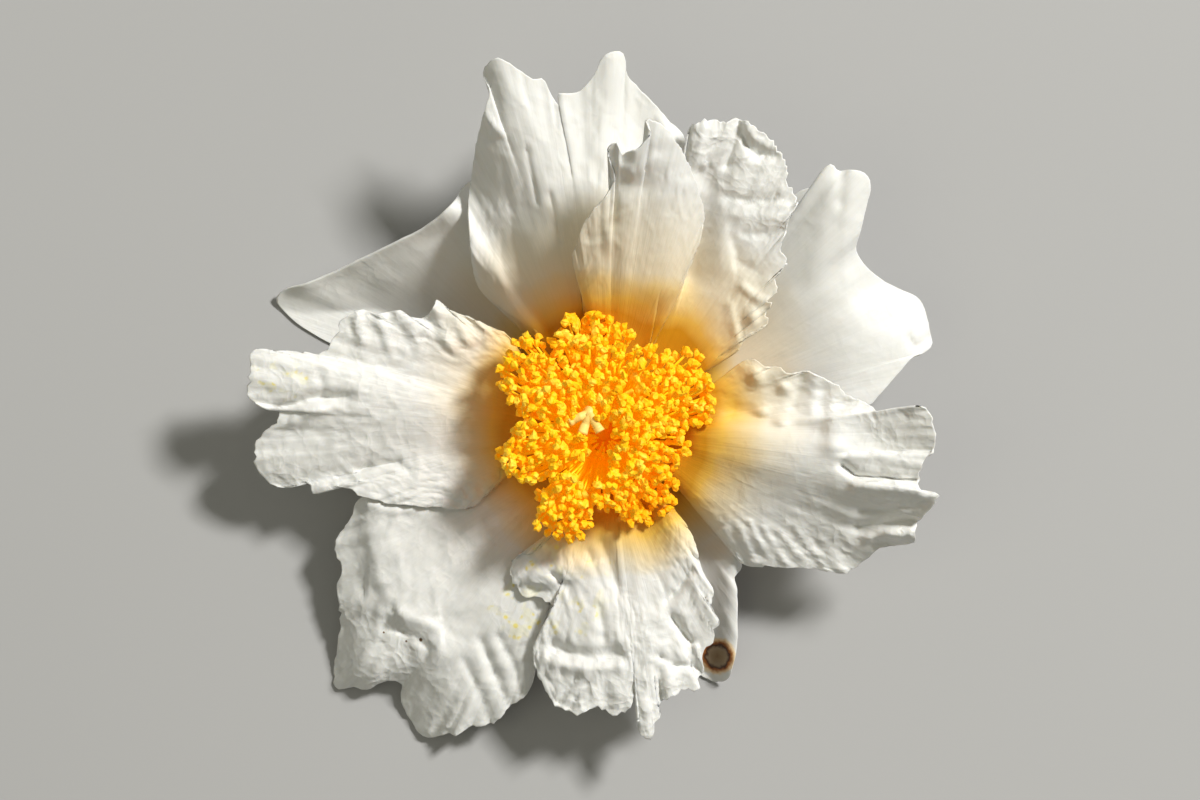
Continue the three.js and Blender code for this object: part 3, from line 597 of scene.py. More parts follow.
            (8.3, 7.7, 11.5), (11.1, 13, 14), (13.1, 18, 17), (14.5, 21.7, 19), (14.7, 24.7, 20.4),
            (13.9, 27.7, 22.4), (12.9, 30.3, 24.2), (11.7, 32.7, 26.4), (10.1, 35.1, 28.8),
            (8.3, 36.5, 30.6), (7, 36.5, 31.4), (7.7, 35.1, 30.8), (6.7, 33.5, 30.4), (5.4, 32.6, 30.2),
            (3.9, 32.2, 29.9), (3.3, 33.5, 30.4), (2.2, 33.3, 30), (2.2, 31.7, 29.2), (2.9, 29.7, 28.2),
            (2.6, 27.9, 27.4), (1.4, 26.3, 26.5), (0, 24.7, 25.6), (-1.3, 22.9, 24.2), (-1.9, 20.7, 22.4),
            (-2.6, 18.9, 20.6), (-1.7, 15.8, 17.6), (0.3, 12, 14.2), (1, 8, 11.2),
        ),
        details=(
            Crease(((9, 15), (10.2, 22), (10.8, 28), (10.2, 33.5)), 2.6, 5.0, 3.6),
            Crease(((3.4, 21), (4.0, 25), (3.7, 29.5)), 0.3, 0.9, 1.2),
            Crease(((3.4, 31), (5.6, 29.6), (8.2, 31.6)), 0.5, 0.8, 1.1, 0.2),
            Dimple((4.8, 28.6), (2.6, 2.0), -0.8),
            Dimple((2.2, 21), (0.8, 1.9), 0.5),
        ),
    ),
    Petal(
        node="petal_right_front", whorl=FRONT, angle=2, curve=1.4, belly=1.0, creased=True,
        over=("petal_right", "petal_bottom_right"),
        pleats=(1.6, 0.2), crumple=(2.4, 0.2), ruffle=(1.2, 0.3), nick=(0.7, 0.3),
        rim=(
            (10.5, -10, 9), (13, -13.7, 7.4), (15, -16.3, 6.4), (17.3, -19, 5.8), (19, -21, 6),
            (20.3, -22.3, 7), (23.5, -22.6, 8.4), (27, -22.7, 9), (30.5, -23, 9.2), (34, -23.4, 9.2),
            (36, -22, 10), (38, -20.3, 11.2), (40.5, -19.6, 11.4), (42.9, -19, 13.5), (43.2, -16.9, 13.5),
            (44.4, -15.5, 16), (46, -12.8, 18), (44, -13, 16.5), (43.4, -11, 16), (44, -8.7, 17),
            (45.5, -6.5, 18.3), (45.3, -3.7, 19.5), (44.3, -1.5, 20.2), (43, -1.1, 20.2),
            (41, -2, 18.5), (39, -2.6, 16.6), (38, -2, 15.4), (36.5, -0.7, 14.8), (34, 0.3, 15.2),
            (32.5, 1.7, 15.8), (30.5, 2.7, 16.3), (28.5, 3.5, 16.7), (26.3, 3.2, 16.6), (24.5, 4.2, 16.6),
            (23, 4, 16.4), (21.5, 5.1, 16.2), (20, 4.7, 15.5), (18, 2.8, 14.1), (15.5, 1.3, 12.6),
            (12.5, -0.5, 11.3),
        ),
        details=(
            Crease(((10, -4.4), (15, -5.2), (22, -6.8), (27, -7.7), (31.4, -7.6)), 4.4, 5.4, 11.0, 0.1),
            Crease(((45.5, -13), (45.5, -6), (43.5, -1.5)), 2.0, 9.0, 5.0),
            Crease(((19, -1.8), (25, -3.6), (30, -4.4)), -0.9, 1.3, 1.3),
            Crease(((33.3, -9), (35, -10.4), (43, -11)), -1.7, 0.6, 0.6, 0.5),
            Crease(((35, -11.7), (43, -12)), 0.9, 0.8, 0.9, 0.3),
            Crease(((36, -15.2), (40, -14.6), (44, -14.4)), -0.9, 0.7, 0.9, 0.4),
            Crease(((35.6, -17), (39, -16.8), (43, -16.2)), -1.7, 0.8, 0.9, 0.3),
            Crease(((37, -18.6), (43, -17.8)), 1.2, 0.9, 0.8, 0.3),
            Crease(((29.2, -1.6), (29.8, 3.2)), 0.45, 0.8, 0.9, 0.3),
            Crease(((31.6, -2.4), (31.8, 0), (32.6, 1.6)), 0.4, 0.7, 0.8, 0.3),
            Crease(((26.8, -1.2), (27.8, 2.9)), -0.4, 0.7, 0.7, 0.2),
            Dimple((21.8, 2.7), (0.9, 1.1), 1.1),
            Dimple((25.6, 1.3), (0.7, 0.7), 0.9),
            Dimple((22.6, -2.0), (1.1, 0.7), 0.8),
            Dimple((25.1, -3.3), (1.0, 0.7), 0.7),
            Dimple((32.2, -6.4), (1.4, 1.0), 0.5),
            *(
                Crease(line, 0.3, 0.4, 0.45, 0.3)
                for line in (
                    ((17.6, -17.6), (19.6, -21.4)), ((19.4, -17), (21.8, -22)), ((21, -16.6), (23.8, -22.2)),
                    ((22.8, -17.4), (26, -22.4)), ((25, -17.8), (28.6, -22.4)), ((27.6, -18), (31.2, -22.8)),
                    ((30.4, -18.6), (33.6, -23)),
                )
            ),
        ),
    ),
    Petal(
        node="petal_bottom_front", whorl=FRONT, angle=-80, curve=1.2, belly=2.4, creased=True,
        over=("petal_bottom_right", "petal_bottom_left"),
        pleats=(2.4, 0.2), crumple=(2.0, 0.42), ruffle=(1.8, 0.5), nick=(0.7, 0.4),
        rim=(
            (-1.5, -12, 11), (-3.3, -15.5, 11.6), (-5.5, -18.5, 11.8), (-8, -20.7, 11.4),
            (-10.7, -21.8, 9.8), (-10.8, -23.5, 9.6), (-10.3, -25.3, 9.6), (-9.2, -26.7, 9.6),
            (-7.2, -26.8, 9.9), (-5, -27.9, 10.1), (-5.7, -30, 9.8), (-7, -31.8, 9.7), (-7.9, -33.7, 9.2),
            (-7.7, -36, 8.8), (-6.7, -38.3, 8.8), (-5, -41, 8.8), (-3, -41.9, 9.5), (-1.5, -42.1, 9.5),
            (0.3, -41.6, 9.5), (2, -42, 9), (3.5, -42.4, 9), (5, -41.3, 9.4), (5.5, -40, 9.7),
            (5.7, -38.8, 9.95), (6, -40.5, 9.35), (6.15, -42.5, 9.15), (6.1, -44.2, 8.85), (6.6, -45.3, 8.65),
            (7.8, -45.7, 8.6), (8.2, -44.7, 8.8), (8.2, -43.6, 9), (9.1, -42.8, 9.15), (8.8, -41.4, 9.4),
            (10.4, -40, 10), (12.5, -39, 9.5), (14.3, -39.1, 9.5), (14, -37.7, 9.5), (14.8, -36.8, 10),
            (14.7, -34.3, 10.5), (16.3, -32.3, 11), (16.3, -31.1, 11.5), (17, -30.4, 12),
            (15.9, -28, 12.5), (16.1, -26, 12.5), (14.8, -23.5, 12.8), (14, -21, 13),
            (13.2, -18.3, 13), (11.2, -15.4, 12.5), (7, -11, 11),
        ),
        details=(
            Crease(((2.4, -10.5), (3.0, -17.5)), 1.8, 5.0, 4.5),
            Crease(((3.6, -20), (4.2, -28), (5.2, -36)), 0.5, 5.0, 5.0),
            Crease(((1.4, -19.5), (3.6, -26)), -0.7, 1.1, 1.1, 0.2),
            Crease(((-0.6, -20.5), (1.6, -25.5)), -0.3, 0.6, 0.6, 0.4),
            Crease(((-9.8, -23.6), (-6, -23.5), (-1.5, -22.4)), 0.6, 1.2, 2.4, 0.1),
            Crease(((-9.4, -25.3), (-5.5, -25.9), (-3.3, -25)), -0.6, 0.8, 0.9, 0.3),
            Crease(((-5.4, -23.6), (-4.2, -24.8)), -0.7, 0.6, 0.6, 0.4),
            Crease(((-5.2, -33.2), (-1, -34.7), (3, -34.2)), -1.1, 1.0, 1.2, 0.2),
            Crease(((-5, -35.6), (0, -36.2), (3.5, -35.8)), 0.5, 0.8, 0.7, 0.3),
            Crease(((-2, -37.4), (-4.5, -40.8)), -1.0, 0.6, 0.6, 0.4),
            Crease(((-0.8, -38.2), (-3, -41.4)), -1.0, 0.6, 0.6, 0.4),
            Crease(((1, -28), (1.6, -32)), -0.5, 0.6, 0.6, 0.3),
            Crease(((10.6, -29.4), (11.8, -31), (13.2, -32.6)), -1.1, 0.7, 0.7, 0.4),
            Crease(((9, -34.6), (11, -35.8), (14, -36)), -0.8, 0.6, 0.6, 0.4),
            Crease(((13, -23.2), (11.4, -25.8), (10, -27)), -0.8, 0.7, 0.7, 0.3),
            Crease(((8.8, -36.4), (9.4, -40.4)), -0.8, 0.6, 0.6, 0.4),
            Crease(((6.9, -41), (7.1, -45)), 0.5, 0.8, 0.9, 0.2),
        ),
    ),
    Petal(
        node="petal_left", whorl=FRONT, angle=165, curve=1.3, belly=1.0, creased=True,
        over=("petal_bottom_left", "petal_upper_left"),
        pleats=(2.4, 0.15), crumple=(2.1, 0.36), ruffle=(1.8, 0.5), nick=(0.7, 0.4),
        rim=(
            (-7, 1, 10.5), (-9.5, 5.5, 11.3), (-11.7, 8.6, 12), (-14, 9.5, 12.6), (-16.5, 10.8, 13),
            (-19, 11.6, 13), (-21, 13, 13.6), (-21.8, 11.2, 13), (-24, 10.6, 12.9), (-26, 11.7, 13.4),
            (-28.3, 11.1, 13), (-31, 11.6, 13.4), (-33.3, 10.5, 13.2), (-34.3, 8.5, 12.8),
            (-36.3, 5.9, 12), (-38.5, 6, 12.4), (-42, 6.2, 13.6), (-45.4, 6.2, 14.6), (-45.6, 3.5, 14.2),
            (-45.9, 0.2, 13.4), (-43.7, -1.5, 12.6), (-41.8, -1.7, 12), (-42.3, -3.3, 11.2),
            (-44, -4.7, 10.2), (-45.3, -7, 9.2), (-44.8, -9.5, 8.4), (-43, -11.8, 7.6), (-40.5, -12, 8),
            (-38.3, -11.3, 8.6), (-37.5, -12.8, 8.4), (-34.5, -12, 8.8), (-32.3, -12.3, 9.2),
            (-30.5, -13.3, 9), (-26, -14.3, 9.2), (-21, -14.6, 9.4), (-16.3, -14.7, 9.8),
            (-14.2, -12.7, 10.2), (-13, -10.3, 10.4), (-10, -7.5, 10.6), (-7.5, -5.5, 10.5),
        ),
        details=(
            Crease(((-16, -1), (-24, -0.5), (-33, 0.8)), 0.4, 3.0, 4.0),
            Crease(((-16.8, 7.5), (-18.4, 11)), 0.55, 0.6, 0.8, 0.3),
            Crease(((-19.2, 7), (-21.5, 12.5)), 0.65, 0.7, 1.1, 0.3),
            Crease(((-23.9, 8.6), (-25.8, 11.5)), 0.55, 0.6, 0.8, 0.3),
            Crease(((-27.2, 6.4), (-28.4, 11)), 0.6, 0.6, 1.0, 0.3),
            Crease(((-30.6, 7.6), (-31.6, 10.8)), 0.7, 0.6, 0.7, 0.3),
            Crease(((-33, 0.2), (-37.6, -0.1), (-42, -1.4)), -1.3, 0.8, 0.8, 0.3),
            Crease(((-35.8, 0.6), (-36.6, 3.6)), -0.4, 0.7, 0.7, 0.3),
            Crease(((-40, -3), (-36.5, -1.6)), 0.8, 0.6, 0.9, 0.2),
            Crease(((-30, -9), (-33, -11), (-35, -12)), -0.8, 0.6, 0.7, 0.3),
            Crease(((-26, -8.6), (-31, -9.6)), -0.5, 0.5, 0.6, 0.3),
            Crease(((-22, -5), (-32, -6.4), (-42, -8.6)), 0.5, 2.6, 3.4),
        ),
    ),
)


# ---- Node helpers ----------------------------------------------------------------------


@dataclass
class Board:
    """Adds nodes to one node tree and links them."""

    tree: bpy.types.NodeTree

    def node(self, kind: str, inputs: dict | None = None, **settings: object) -> bpy.types.Node:
        """One node.

        Args:
            kind: The node's type name.
            inputs: Values or sockets by input name or number.
            settings: The node's own settings.

        Returns:
            The new node.
        """
        made = self.tree.nodes.new(kind)
        for name, value in settings.items():
            setattr(made, name, value)
        for name, value in (inputs or {}).items():
            if isinstance(value, Socket):
                self.link(value, made.inputs[name])
            else:
                made.inputs[name].default_value = value
        return made

    def link(self, value: Socket, target: Socket) -> None:
        """Joins an output to an input."""
        self.tree.links.new(value, target)

    def shared(self, tree: bpy.types.NodeTree, **inputs: float) -> bpy.types.Node:
        """A shared group with its inputs set."""
        return self.node("ShaderNodeGroup", inputs, node_tree=tree)

    def maths(self, operation: str, *values: object) -> Socket:
        """The result of a Math node."""
        return self.node("ShaderNodeMath", dict(enumerate(values)), operation=operation).outputs[0]

    def vector(self, operation: str, *values: object) -> Socket:
        """The vector that a Vector Math node gives."""
        return self.node("ShaderNodeVectorMath", dict(enumerate(values)), operation=operation).outputs[0]

    def place(self) -> Socket:
        """Object coordinates, which are the frame's own metres."""
        return self.node("ShaderNodeTexCoord").outputs["Object"]

    def height(self) -> Socket:
        """The height above the surface that the bloom lies on, in metres."""
        return self.node("ShaderNodeSeparateXYZ", {0: self.place()}).outputs[2]

    def petal_map(self) -> Socket:
        """A petal's own map: across it from 0 to 1, then from its claw to its rim."""
        return self.node("ShaderNodeUVMap", uv_map="petal").outputs[0]

    def noise(self, place: Socket, scale: object, detail: float) -> bpy.types.Node:
        """A Noise node over a place."""
        return self.node("ShaderNodeTexNoise", {"Vector": place, "Scale": scale, "Detail": detail})

    def cells(self, place: Socket, scale: object) -> Socket:
        """The distance to the nearest of scattered points."""
        return self.node("ShaderNodeTexVoronoi", {"Vector": place, "Scale": scale}).outputs["Distance"]

    def distance(self, place: Socket, middle: object) -> Socket:
        """How far a place is from a middle, in plan."""
        flat = self.vector("MULTIPLY", self.vector("SUBTRACT", place, middle), (1.0, 1.0, 0.0))
        return self.node("ShaderNodeVectorMath", {0: flat}, operation="LENGTH").outputs["Value"]

    def ramp(self, value: Socket, *stops: tuple[float, Colour]) -> Socket:
        """A colour from a value.

        Args:
            value: What the ramp reads.
            stops: The place and the colour of each stop.

        Returns:
            The colour's socket.
        """
        made = self.node("ShaderNodeValToRGB", {0: value})
        points = made.color_ramp.elements
        while len(points) < len(stops):
            points.new(0.5)
        for point, (place, colour) in zip(points, stops):
            point.position = place
            point.color = (*colour, 1.0)
        return made.outputs[0]

    def between(self, value: Socket, low: float, high: float) -> Socket:
        """How far a value lies from low to high, eased at both ends."""
        inputs = {0: value, 1: low, 2: high, 3: 0.0, 4: 1.0}
        return self.node("ShaderNodeMapRange", inputs, interpolation_type="SMOOTHSTEP").outputs[0]

    def mix(self, share: object, a: object, b: object, mode: str = "MIX") -> Socket:
        """A colour mixed of two."""
        inputs = {0: share, 6: a, 7: b}
        return self.node("ShaderNodeMix", inputs, data_type="RGBA", blend_type=mode).outputs[2]

    def times(self, a: object, b: object) -> Socket:
        """Two colours multiplied."""
        return self.mix(1.0, a, b, "MULTIPLY")


def group(name: str, inputs: dict[str, object], output: str, *more: str) -> tuple:
    """A new shader node group.

    Args:
        name: The group's name.
        inputs: The default of each input, a number or a vector.
        output: The name of its first output, a number.
        more: The names of its other outputs.

    Returns:
        The group, its board, its input sockets and its output sockets.
    """
    tree = bpy.data.node_groups.new(name, "ShaderNodeTree")
    for label, value in inputs.items():
        kind = "NodeSocketFloat" if isinstance(value, float) else "NodeSocketVector"
        tree.interface.new_socket(label, in_out="INPUT", socket_type=kind).default_value = value
    for label in (output, *more):
        tree.interface.new_socket(label, in_out="OUTPUT", socket_type="NodeSocketFloat")
    board = Board(tree)
    return tree, board, board.node("NodeGroupInput").outputs, board.node("NodeGroupOutput").inputs


def fine_grain() -> bpy.types.NodeTree:
    """A group that gives a fine grain and a broad mottle from Object coordinates.

    Returns:
        The group.
    """
    tree, board, given, result = group("Fine grain", {"Fine": 900.0, "Broad": 90.0}, "Grain", "Mottle")
    place = board.place()
    for label, target in (("Fine", "Grain"), ("Broad", "Mottle")):
        board.link(board.noise(place, given[label], 3.0).outputs[0], result[target])
    return tree


def petal_veins() -> bpy.types.NodeTree:
    """A group that gives the fine veins and wrinkles which run from claw to rim.

    Returns:
        The group.
    """
    tree, board, given, result = group("Petal veins", {"Count": 120.0, "Length": 3.0}, "Height")
    size = board.node("ShaderNodeCombineXYZ", {0: given["Count"], 1: given["Length"], 2: 1.0})
    noise = board.noise(board.vector("MULTIPLY", board.petal_map(), size.outputs[0]), 1.0, 3.0)
    noise.inputs["Roughness"].default_value = 0.6
    noise.inputs["Distortion"].default_value = 0.4
    board.link(noise.outputs[0], result["Height"])
    return tree


def crumpled_tissue() -> bpy.types.NodeTree:
    """A group that gives the facets of crumpled tissue, growing towards the petal's rim.

    Returns:
        The group.
    """
    tree, board, given, result = group("Crumpled tissue", {"Scale": 330.0, "From": 0.3}, "Height")
    bend, finer, weaker, least = (0.004,) * 3, 2.3, 0.4, 0.3
    place = board.place()
    shift = board.vector("MULTIPLY", board.noise(place, 260.0, 2.0).outputs[1], bend)
    bent = board.vector("ADD", place, shift)
    large = board.cells(bent, given["Scale"])
    small = board.cells(bent, board.maths("MULTIPLY", given["Scale"], finer))
    facets = board.maths("MULTIPLY_ADD", small, weaker, large)
    along = board.node("ShaderNodeSeparateXYZ", {0: board.petal_map()}).outputs[1]
    outer = board.node("ShaderNodeMapRange", {0: along, 1: given["From"], 2: 1.0}).outputs[0]
    some = board.between(board.noise(place, 90.0, 1.0).outputs[0], 0.35, 0.65)
    share = board.maths("MULTIPLY", outer, board.maths("MULTIPLY_ADD", some, 1 - least, least))
    board.link(board.maths("MULTIPLY", facets, share), result["Height"])
    return tree


def throat_tint_and_bounce_light() -> bpy.types.NodeTree:
    """A group that gives how near a spot is to the warm heart of the bloom, deepest on its right. The warmth
    is partly the petals' own yellow base and partly painted orange light bounced from the stamens, with
    painted warm shade where the boss shades the petals.

    Returns:
        The group.
    """
    inputs = {
        "Middle": (0.0035, 0.0018, 0.0), "Inner": 0.0125, "Outer": 0.0300,
        "Deep middle": (0.002, -0.0035, 0.0), "Deep inner": 0.0170, "Deep outer": 0.0240,
    }
    tree, board, given, result = group("Throat tint and painted bounce light", inputs, "Glow")
    uneven, wide_share, deep_share = 0.006, 0.34, 0.68
    place = board.place()
    noise = board.noise(place, 110.0, 2.0).outputs[0]
    shares = []
    for middle, inner, outer in (("Middle", "Inner", "Outer"), ("Deep middle", "Deep inner", "Deep outer")):
        away = board.maths("MULTIPLY_ADD", noise, uneven, board.distance(place, given[middle]))
        reach = {0: away, 1: given[inner], 2: given[outer], 3: 1.0, 4: 0.0}
        shares.append(board.node("ShaderNodeMapRange", reach).outputs[0])
    # Both shares lay painted orange bounce light over the petals' own yellow base; the deep share also paints
    # warm shade where the boss shades the petals.
    warm = board.maths("MULTIPLY", shares[0], wide_share)
    board.link(board.maths("MULTIPLY_ADD", shares[1], deep_share, warm), result["Glow"])
    return tree


# ---- Finishes --------------------------------------------------------------------------


@dataclass(frozen=True)
class Finish:
    """What all finishes share: the shader's own settings and how a surface is joined to it."""

    name: str
    roughness: float
    subsurface: float
    subsurface_reach: Colour
    subsurface_scale: float
    sheen: float
    gloss: float = 0.3
    # glow and glow_colour are painted light: a faint emission that stands in for light passing through the
    # stamens and the style.
    glow: float = 0.0
    glow_colour: Colour = (1.0, 0.46, 0.0)

    def surface(self, board: Board, groups: Groups) -> Surface:
        """What makes the finish itself.

        Args:
            board: The material's board.
            groups: The shared node groups by name.

        Returns:
            Sockets by shader input, then each bump's height, depth in metres and strength.
        """
        raise NotImplementedError

    def make(self, groups: Groups) -> bpy.types.Material:
        """The material.

        Args:
            groups: The shared node groups by name.

        Returns:
            A new material with this finish.
        """
        material = bpy.data.materials.new(self.name)
        material.use_nodes = True
        board = Board(material.node_tree)
        shader = material.node_tree.nodes["Principled BSDF"]
        for label, value in {
            "Roughness": self.roughness, "Subsurface Weight": self.subsurface,
            "Subsurface Radius": self.subsurface_reach, "Subsurface Scale": self.subsurface_scale,
            "Sheen Weight": self.sheen, "Specular IOR Level": self.gloss,
            "Emission Color": (*self.glow_colour, 1.0), "Emission Strength": self.glow,
        }.items():
            shader.inputs[label].default_value = value
        sockets, bumps = self.surface(board, groups)
        normal = {}
        for height, depth, strength in bumps:
            inputs = {"Height": height, "Distance": depth, "Strength": strength, **normal}
            normal = {"Normal": board.node("ShaderNodeBump", inputs).outputs[0]}
        for label, socket in {**sockets, **normal}.items():
            board.link(socket, shader.inputs[label])
        return material


@dataclass(frozen=True)
class Marks:
    """Small marks on one petal, each a place and a reach in plan, in metres."""

    pollen: Mark | None = None
    spots: tuple[Mark, ...] = ()
    scar: Mark | None = None
    grain_yellow: Colour = (0.83, 0.68, 0.12)
    stain_yellow: Colour = (0.86, 0.82, 0.5)
    spot_brown: Colour = (0.12, 0.06, 0.02)

    def dusted(self, board: Board, place: Socket, colour: Socket) -> Socket:
        """Yellow grains in patches round the pollen's place, on a faint stain.

        Args:
            board: The material's board.
            place: Object coordinates.
            colour: The petal's colour.

        Returns:
            The colour with pollen on it.
        """
        x, y, reach = self.pollen
        here = board.between(board.distance(place, (x, y, 0.0)), reach, reach * 0.5)
        dots = board.between(board.cells(place, 900.0), 0.42, 0.2)
        some = board.between(board.noise(place, 420.0, 2.0).outputs[0], 0.54, 0.62)
        share = board.maths("MULTIPLY", board.maths("MULTIPLY", here, dots), some)
        colour = board.mix(share, colour, (*self.grain_yellow, 1))
        stain = board.maths("MULTIPLY", board.maths("MULTIPLY", here, some), 0.35)
        return board.mix(stain, colour, (*self.stain_yellow, 1))

    def scarred(self, board: Board, place: Socket, wobble: Socket, colour: Socket) -> Socket:
        """A round brown scar with a dark ring and an orange edge, its brown middle partly painted shade of a
        pit that the mesh does not have.

        Args:
            board: The material's board.
            place: Object coordinates.
            wobble: A fine noise that makes its edge uneven.
            colour: The petal's colour.

        Returns:
            The colour with the scar on it.
        """
        x, y, reach = self.scar
        uneven = board.maths("MULTIPLY_ADD", wobble, reach * 0.35, board.distance(place, (x, y, 0.0)))
        share = board.maths("DIVIDE", uneven, reach * 2)
        # The dark ring and orange edge are the dead tissue's own colour; the olive-brown inside and the dark
        # middle are painted shade of the torn pit.
        inside = board.ramp(
            share,
            (0.0, (0.16, 0.08, 0.03)), (0.2, (0.30, 0.2, 0.1)), (0.4, (0.35, 0.26, 0.16)),
            (0.5, (0.06, 0.02, 0.01)), (0.58, (0.4, 0.14, 0.03)), (0.68, (0.8, 0.6, 0.35)),
        )
        return board.mix(board.between(share, 0.8, 0.66), colour, inside)

    def paint(self, board: Board, colour: Socket) -> Socket:
        """The petal's colour with all its marks.

        Args:
            board: The material's board.
            colour: The petal's colour.

        Returns:
            The marked colour.
        """
        place = board.place()
        if self.pollen is not None:
            colour = self.dusted(board, place, colour)
        wobble = board.noise(place, 1500.0, 2.0).outputs[0]
        for x, y, reach in self.spots:
            uneven = board.maths("MULTIPLY_ADD", wobble, reach, board.distance(place, (x, y, 0.0)))
            inside = board.between(uneven, reach * 1.2, reach * 0.8)
            colour = board.mix(inside, colour, (*self.spot_brown, 1))
        if self.scar is not None:
            colour = self.scarred(board, place, wobble, colour)
        return colour


@dataclass(frozen=True)
class PetalFinish(Finish):
    """Thin white petal tissue, warm in the throat, where the warmth is partly painted orange light bounced
    from the stamens.
    """

    white: Colour = (0.80, 0.80, 0.78)
    # cream to orange are the throat's colours: partly the petals' own yellow base, partly painted orange
    # bounce light and warm shade near the stamens.
    cream: Colour = (0.80, 0.75, 0.64)
    tan: Colour = (0.79, 0.665, 0.435)
    sand: Colour = (0.79, 0.60, 0.28)
    amber: Colour = (0.77, 0.50, 0.085)
    orange: Colour = (0.60, 0.30, 0.004)
    vein_count: float = 130.0
    vein_depth: float = 0.00005
    fold_count: float = 39.0
    fold_depth: float = 0.00016
    grain_depth: float = 0.00006
    mottle: tuple[Colour, Colour] = ((0.93, 0.93, 0.92), (1.04, 1.04, 1.04))
    vein_tone: Colour = (0.93, 0.93, 0.92)
    vein_share: float = 0.6
    rough_range: float = 0.2
    crease_depth: float = 0.0
    crease_from: float = 0.3
    marks: Marks = Marks()

    def surface(self, board: Board, groups: Groups) -> Surface:
        """The throat's warmth, partly painted bounce light and shade, then a mottle and the veins, under the
        marks.

        Args:
            board: The material's board.
            groups: The shared node groups by name.

        Returns:
            Sockets by shader input, then the bumps.
        """
        grain = board.shared(groups["grain"], Fine=700.0, Broad=60.0)
        veins = board.shared(groups["veins"], Count=self.vein_count, Length=3.0).outputs[0]
        folds = board.shared(groups["veins"], Count=self.fold_count, Length=2.0).outputs[0]
        # This ramp paints warm bounce light and shade from the stamens over the petals' own yellow base.
        warm = board.ramp(
            board.shared(groups["throat"]).outputs[0],
            (0.0, self.white), (0.1, self.cream), (0.3, self.tan), (0.46, self.sand), (0.7, self.amber),
            (0.92, self.orange),
        )
        dark, light = self.mottle
        colour = board.times(warm, board.mix(grain.outputs["Mottle"], (*dark, 1), (*light, 1)))
        tone = board.ramp(veins, (0.3, self.vein_tone), (0.6, (1.0, 1.0, 1.0)))
        colour = board.mix(self.vein_share, colour, board.times(colour, tone))
        if self.marks != Marks():
            colour = self.marks.paint(board, colour)
        least = self.roughness - self.rough_range / 2
        rough = board.maths("MULTIPLY_ADD", grain.outputs["Mottle"], self.rough_range, least)
        facets = board.shared(groups["crumple"], From=self.crease_from).outputs[0]
        return {"Base Color": colour, "Roughness": rough}, (
            (facets, self.crease_depth, 1.0),
            (folds, self.fold_depth, 0.4),
            (veins, self.vein_depth, 0.4),
            (grain.outputs["Grain"], self.grain_depth, 0.35),
        )


@dataclass(frozen=True)
class AntherFinish(Finish):
    """Pollen-covered anthers, bright yellow to amber, deeper where they stand lower, which is painted shade
    of the boss's depths.
    """

    bright: Colour = (1.0, 0.57, 0.003)
    deep: Colour = (1.0, 0.44, 0.001)
    pale: Colour = (1.0, 0.70, 0.07)
    rise: Pair = (0.016, 0.021)

    def surface(self, board: Board, groups: Groups) -> Surface:
        """A mottle of three yellows that fades to deep amber low down, as painted shade.

        Args:
            board: The material's board.
            groups: The shared node groups by name.

        Returns:
            Sockets by shader input, then the bumps.
        """
        grain = board.shared(groups["grain"], Fine=2600.0, Broad=420.0)
        # Anthers low in the boss are painted deeper amber: painted shade of the gaps between them.
        high = board.between(board.height(), *self.rise)
        tone = board.ramp(grain.outputs["Mottle"], (0.3, self.deep), (0.5, self.bright), (0.72, self.pale))
        colour = board.mix(board.maths("MULTIPLY_ADD", high, 0.75, 0.25), (*self.deep, 1), tone)
        return {"Base Color": colour}, ((grain.outputs["Grain"], 0.00018, 0.8),)


@dataclass(frozen=True)
class RisingFinish(Finish):
    """Smooth tissue that changes from one colour to another with height, under a mottle."""

    low: Colour = (1.0, 0.44, 0.003)
    top: Colour = (1.0, 0.62, 0.006)
    rise: Pair = (0.010, 0.019)
    dark: Colour = (0.8, 0.8, 0.8)
    light: Colour = (1.1, 1.1, 1.1)
    fine: float = 1500.0
    broad: float = 300.0
    strength: float = 0.4

    def surface(self, board: Board, groups: Groups) -> Surface:
        """The two colours by height, times the mottle.

        Args:
            board: The material's board.
            groups: The shared node groups by name.

        Returns:
            Sockets by shader input, then the bumps.
        """
        grain = board.shared(groups["grain"], Fine=self.fine, Broad=self.broad)
        colour = board.mix(board.between(board.height(), *self.rise), (*self.low, 1), (*self.top, 1))
        tone = board.mix(grain.outputs["Mottle"], (*self.dark, 1), (*self.light, 1))
        return {"Base Color": board.times(colour, tone)}, ((grain.outputs["Grain"], 0.0001, self.strength),)


@dataclass(frozen=True)
class TissueFinish(Finish):
    """Plain green or brown plant tissue with a mottle and a fine fur or bark."""

    light: Colour = (0.4, 0.4, 0.2)
    dark: Colour = (0.2, 0.2, 0.08)
    fine: float = 1600.0
    depth: float = 0.0002

    def surface(self, board: Board, groups: Groups) -> Surface:
        """Two tones in patches, times the grain's specks.

        Args:
            board: The material's board.
            groups: The shared node groups by name.

        Returns:
            Sockets by shader input, then the bumps.
        """
        grain = board.shared(groups["grain"], Fine=self.fine, Broad=350.0)
        tone = board.ramp(grain.outputs["Mottle"], (0.35, self.dark), (0.65, self.light))
        speck = board.mix(grain.outputs["Grain"], (0.8, 0.8, 0.8, 1), (1.15, 1.15, 1.15, 1))
        return {"Base Color": board.times(tone, speck)}, ((grain.outputs["Grain"], self.depth, 0.6),)


SMOOTH = PetalFinish("Smooth petal tissue", 0.55, 0.3, (1.0, 0.85, 0.65), 0.0005, 0.1, crease_depth=0.0001)
CREASED = replace(SMOOTH, name="Creased petal tissue", crease_depth=0.00045, crease_from=0.1)
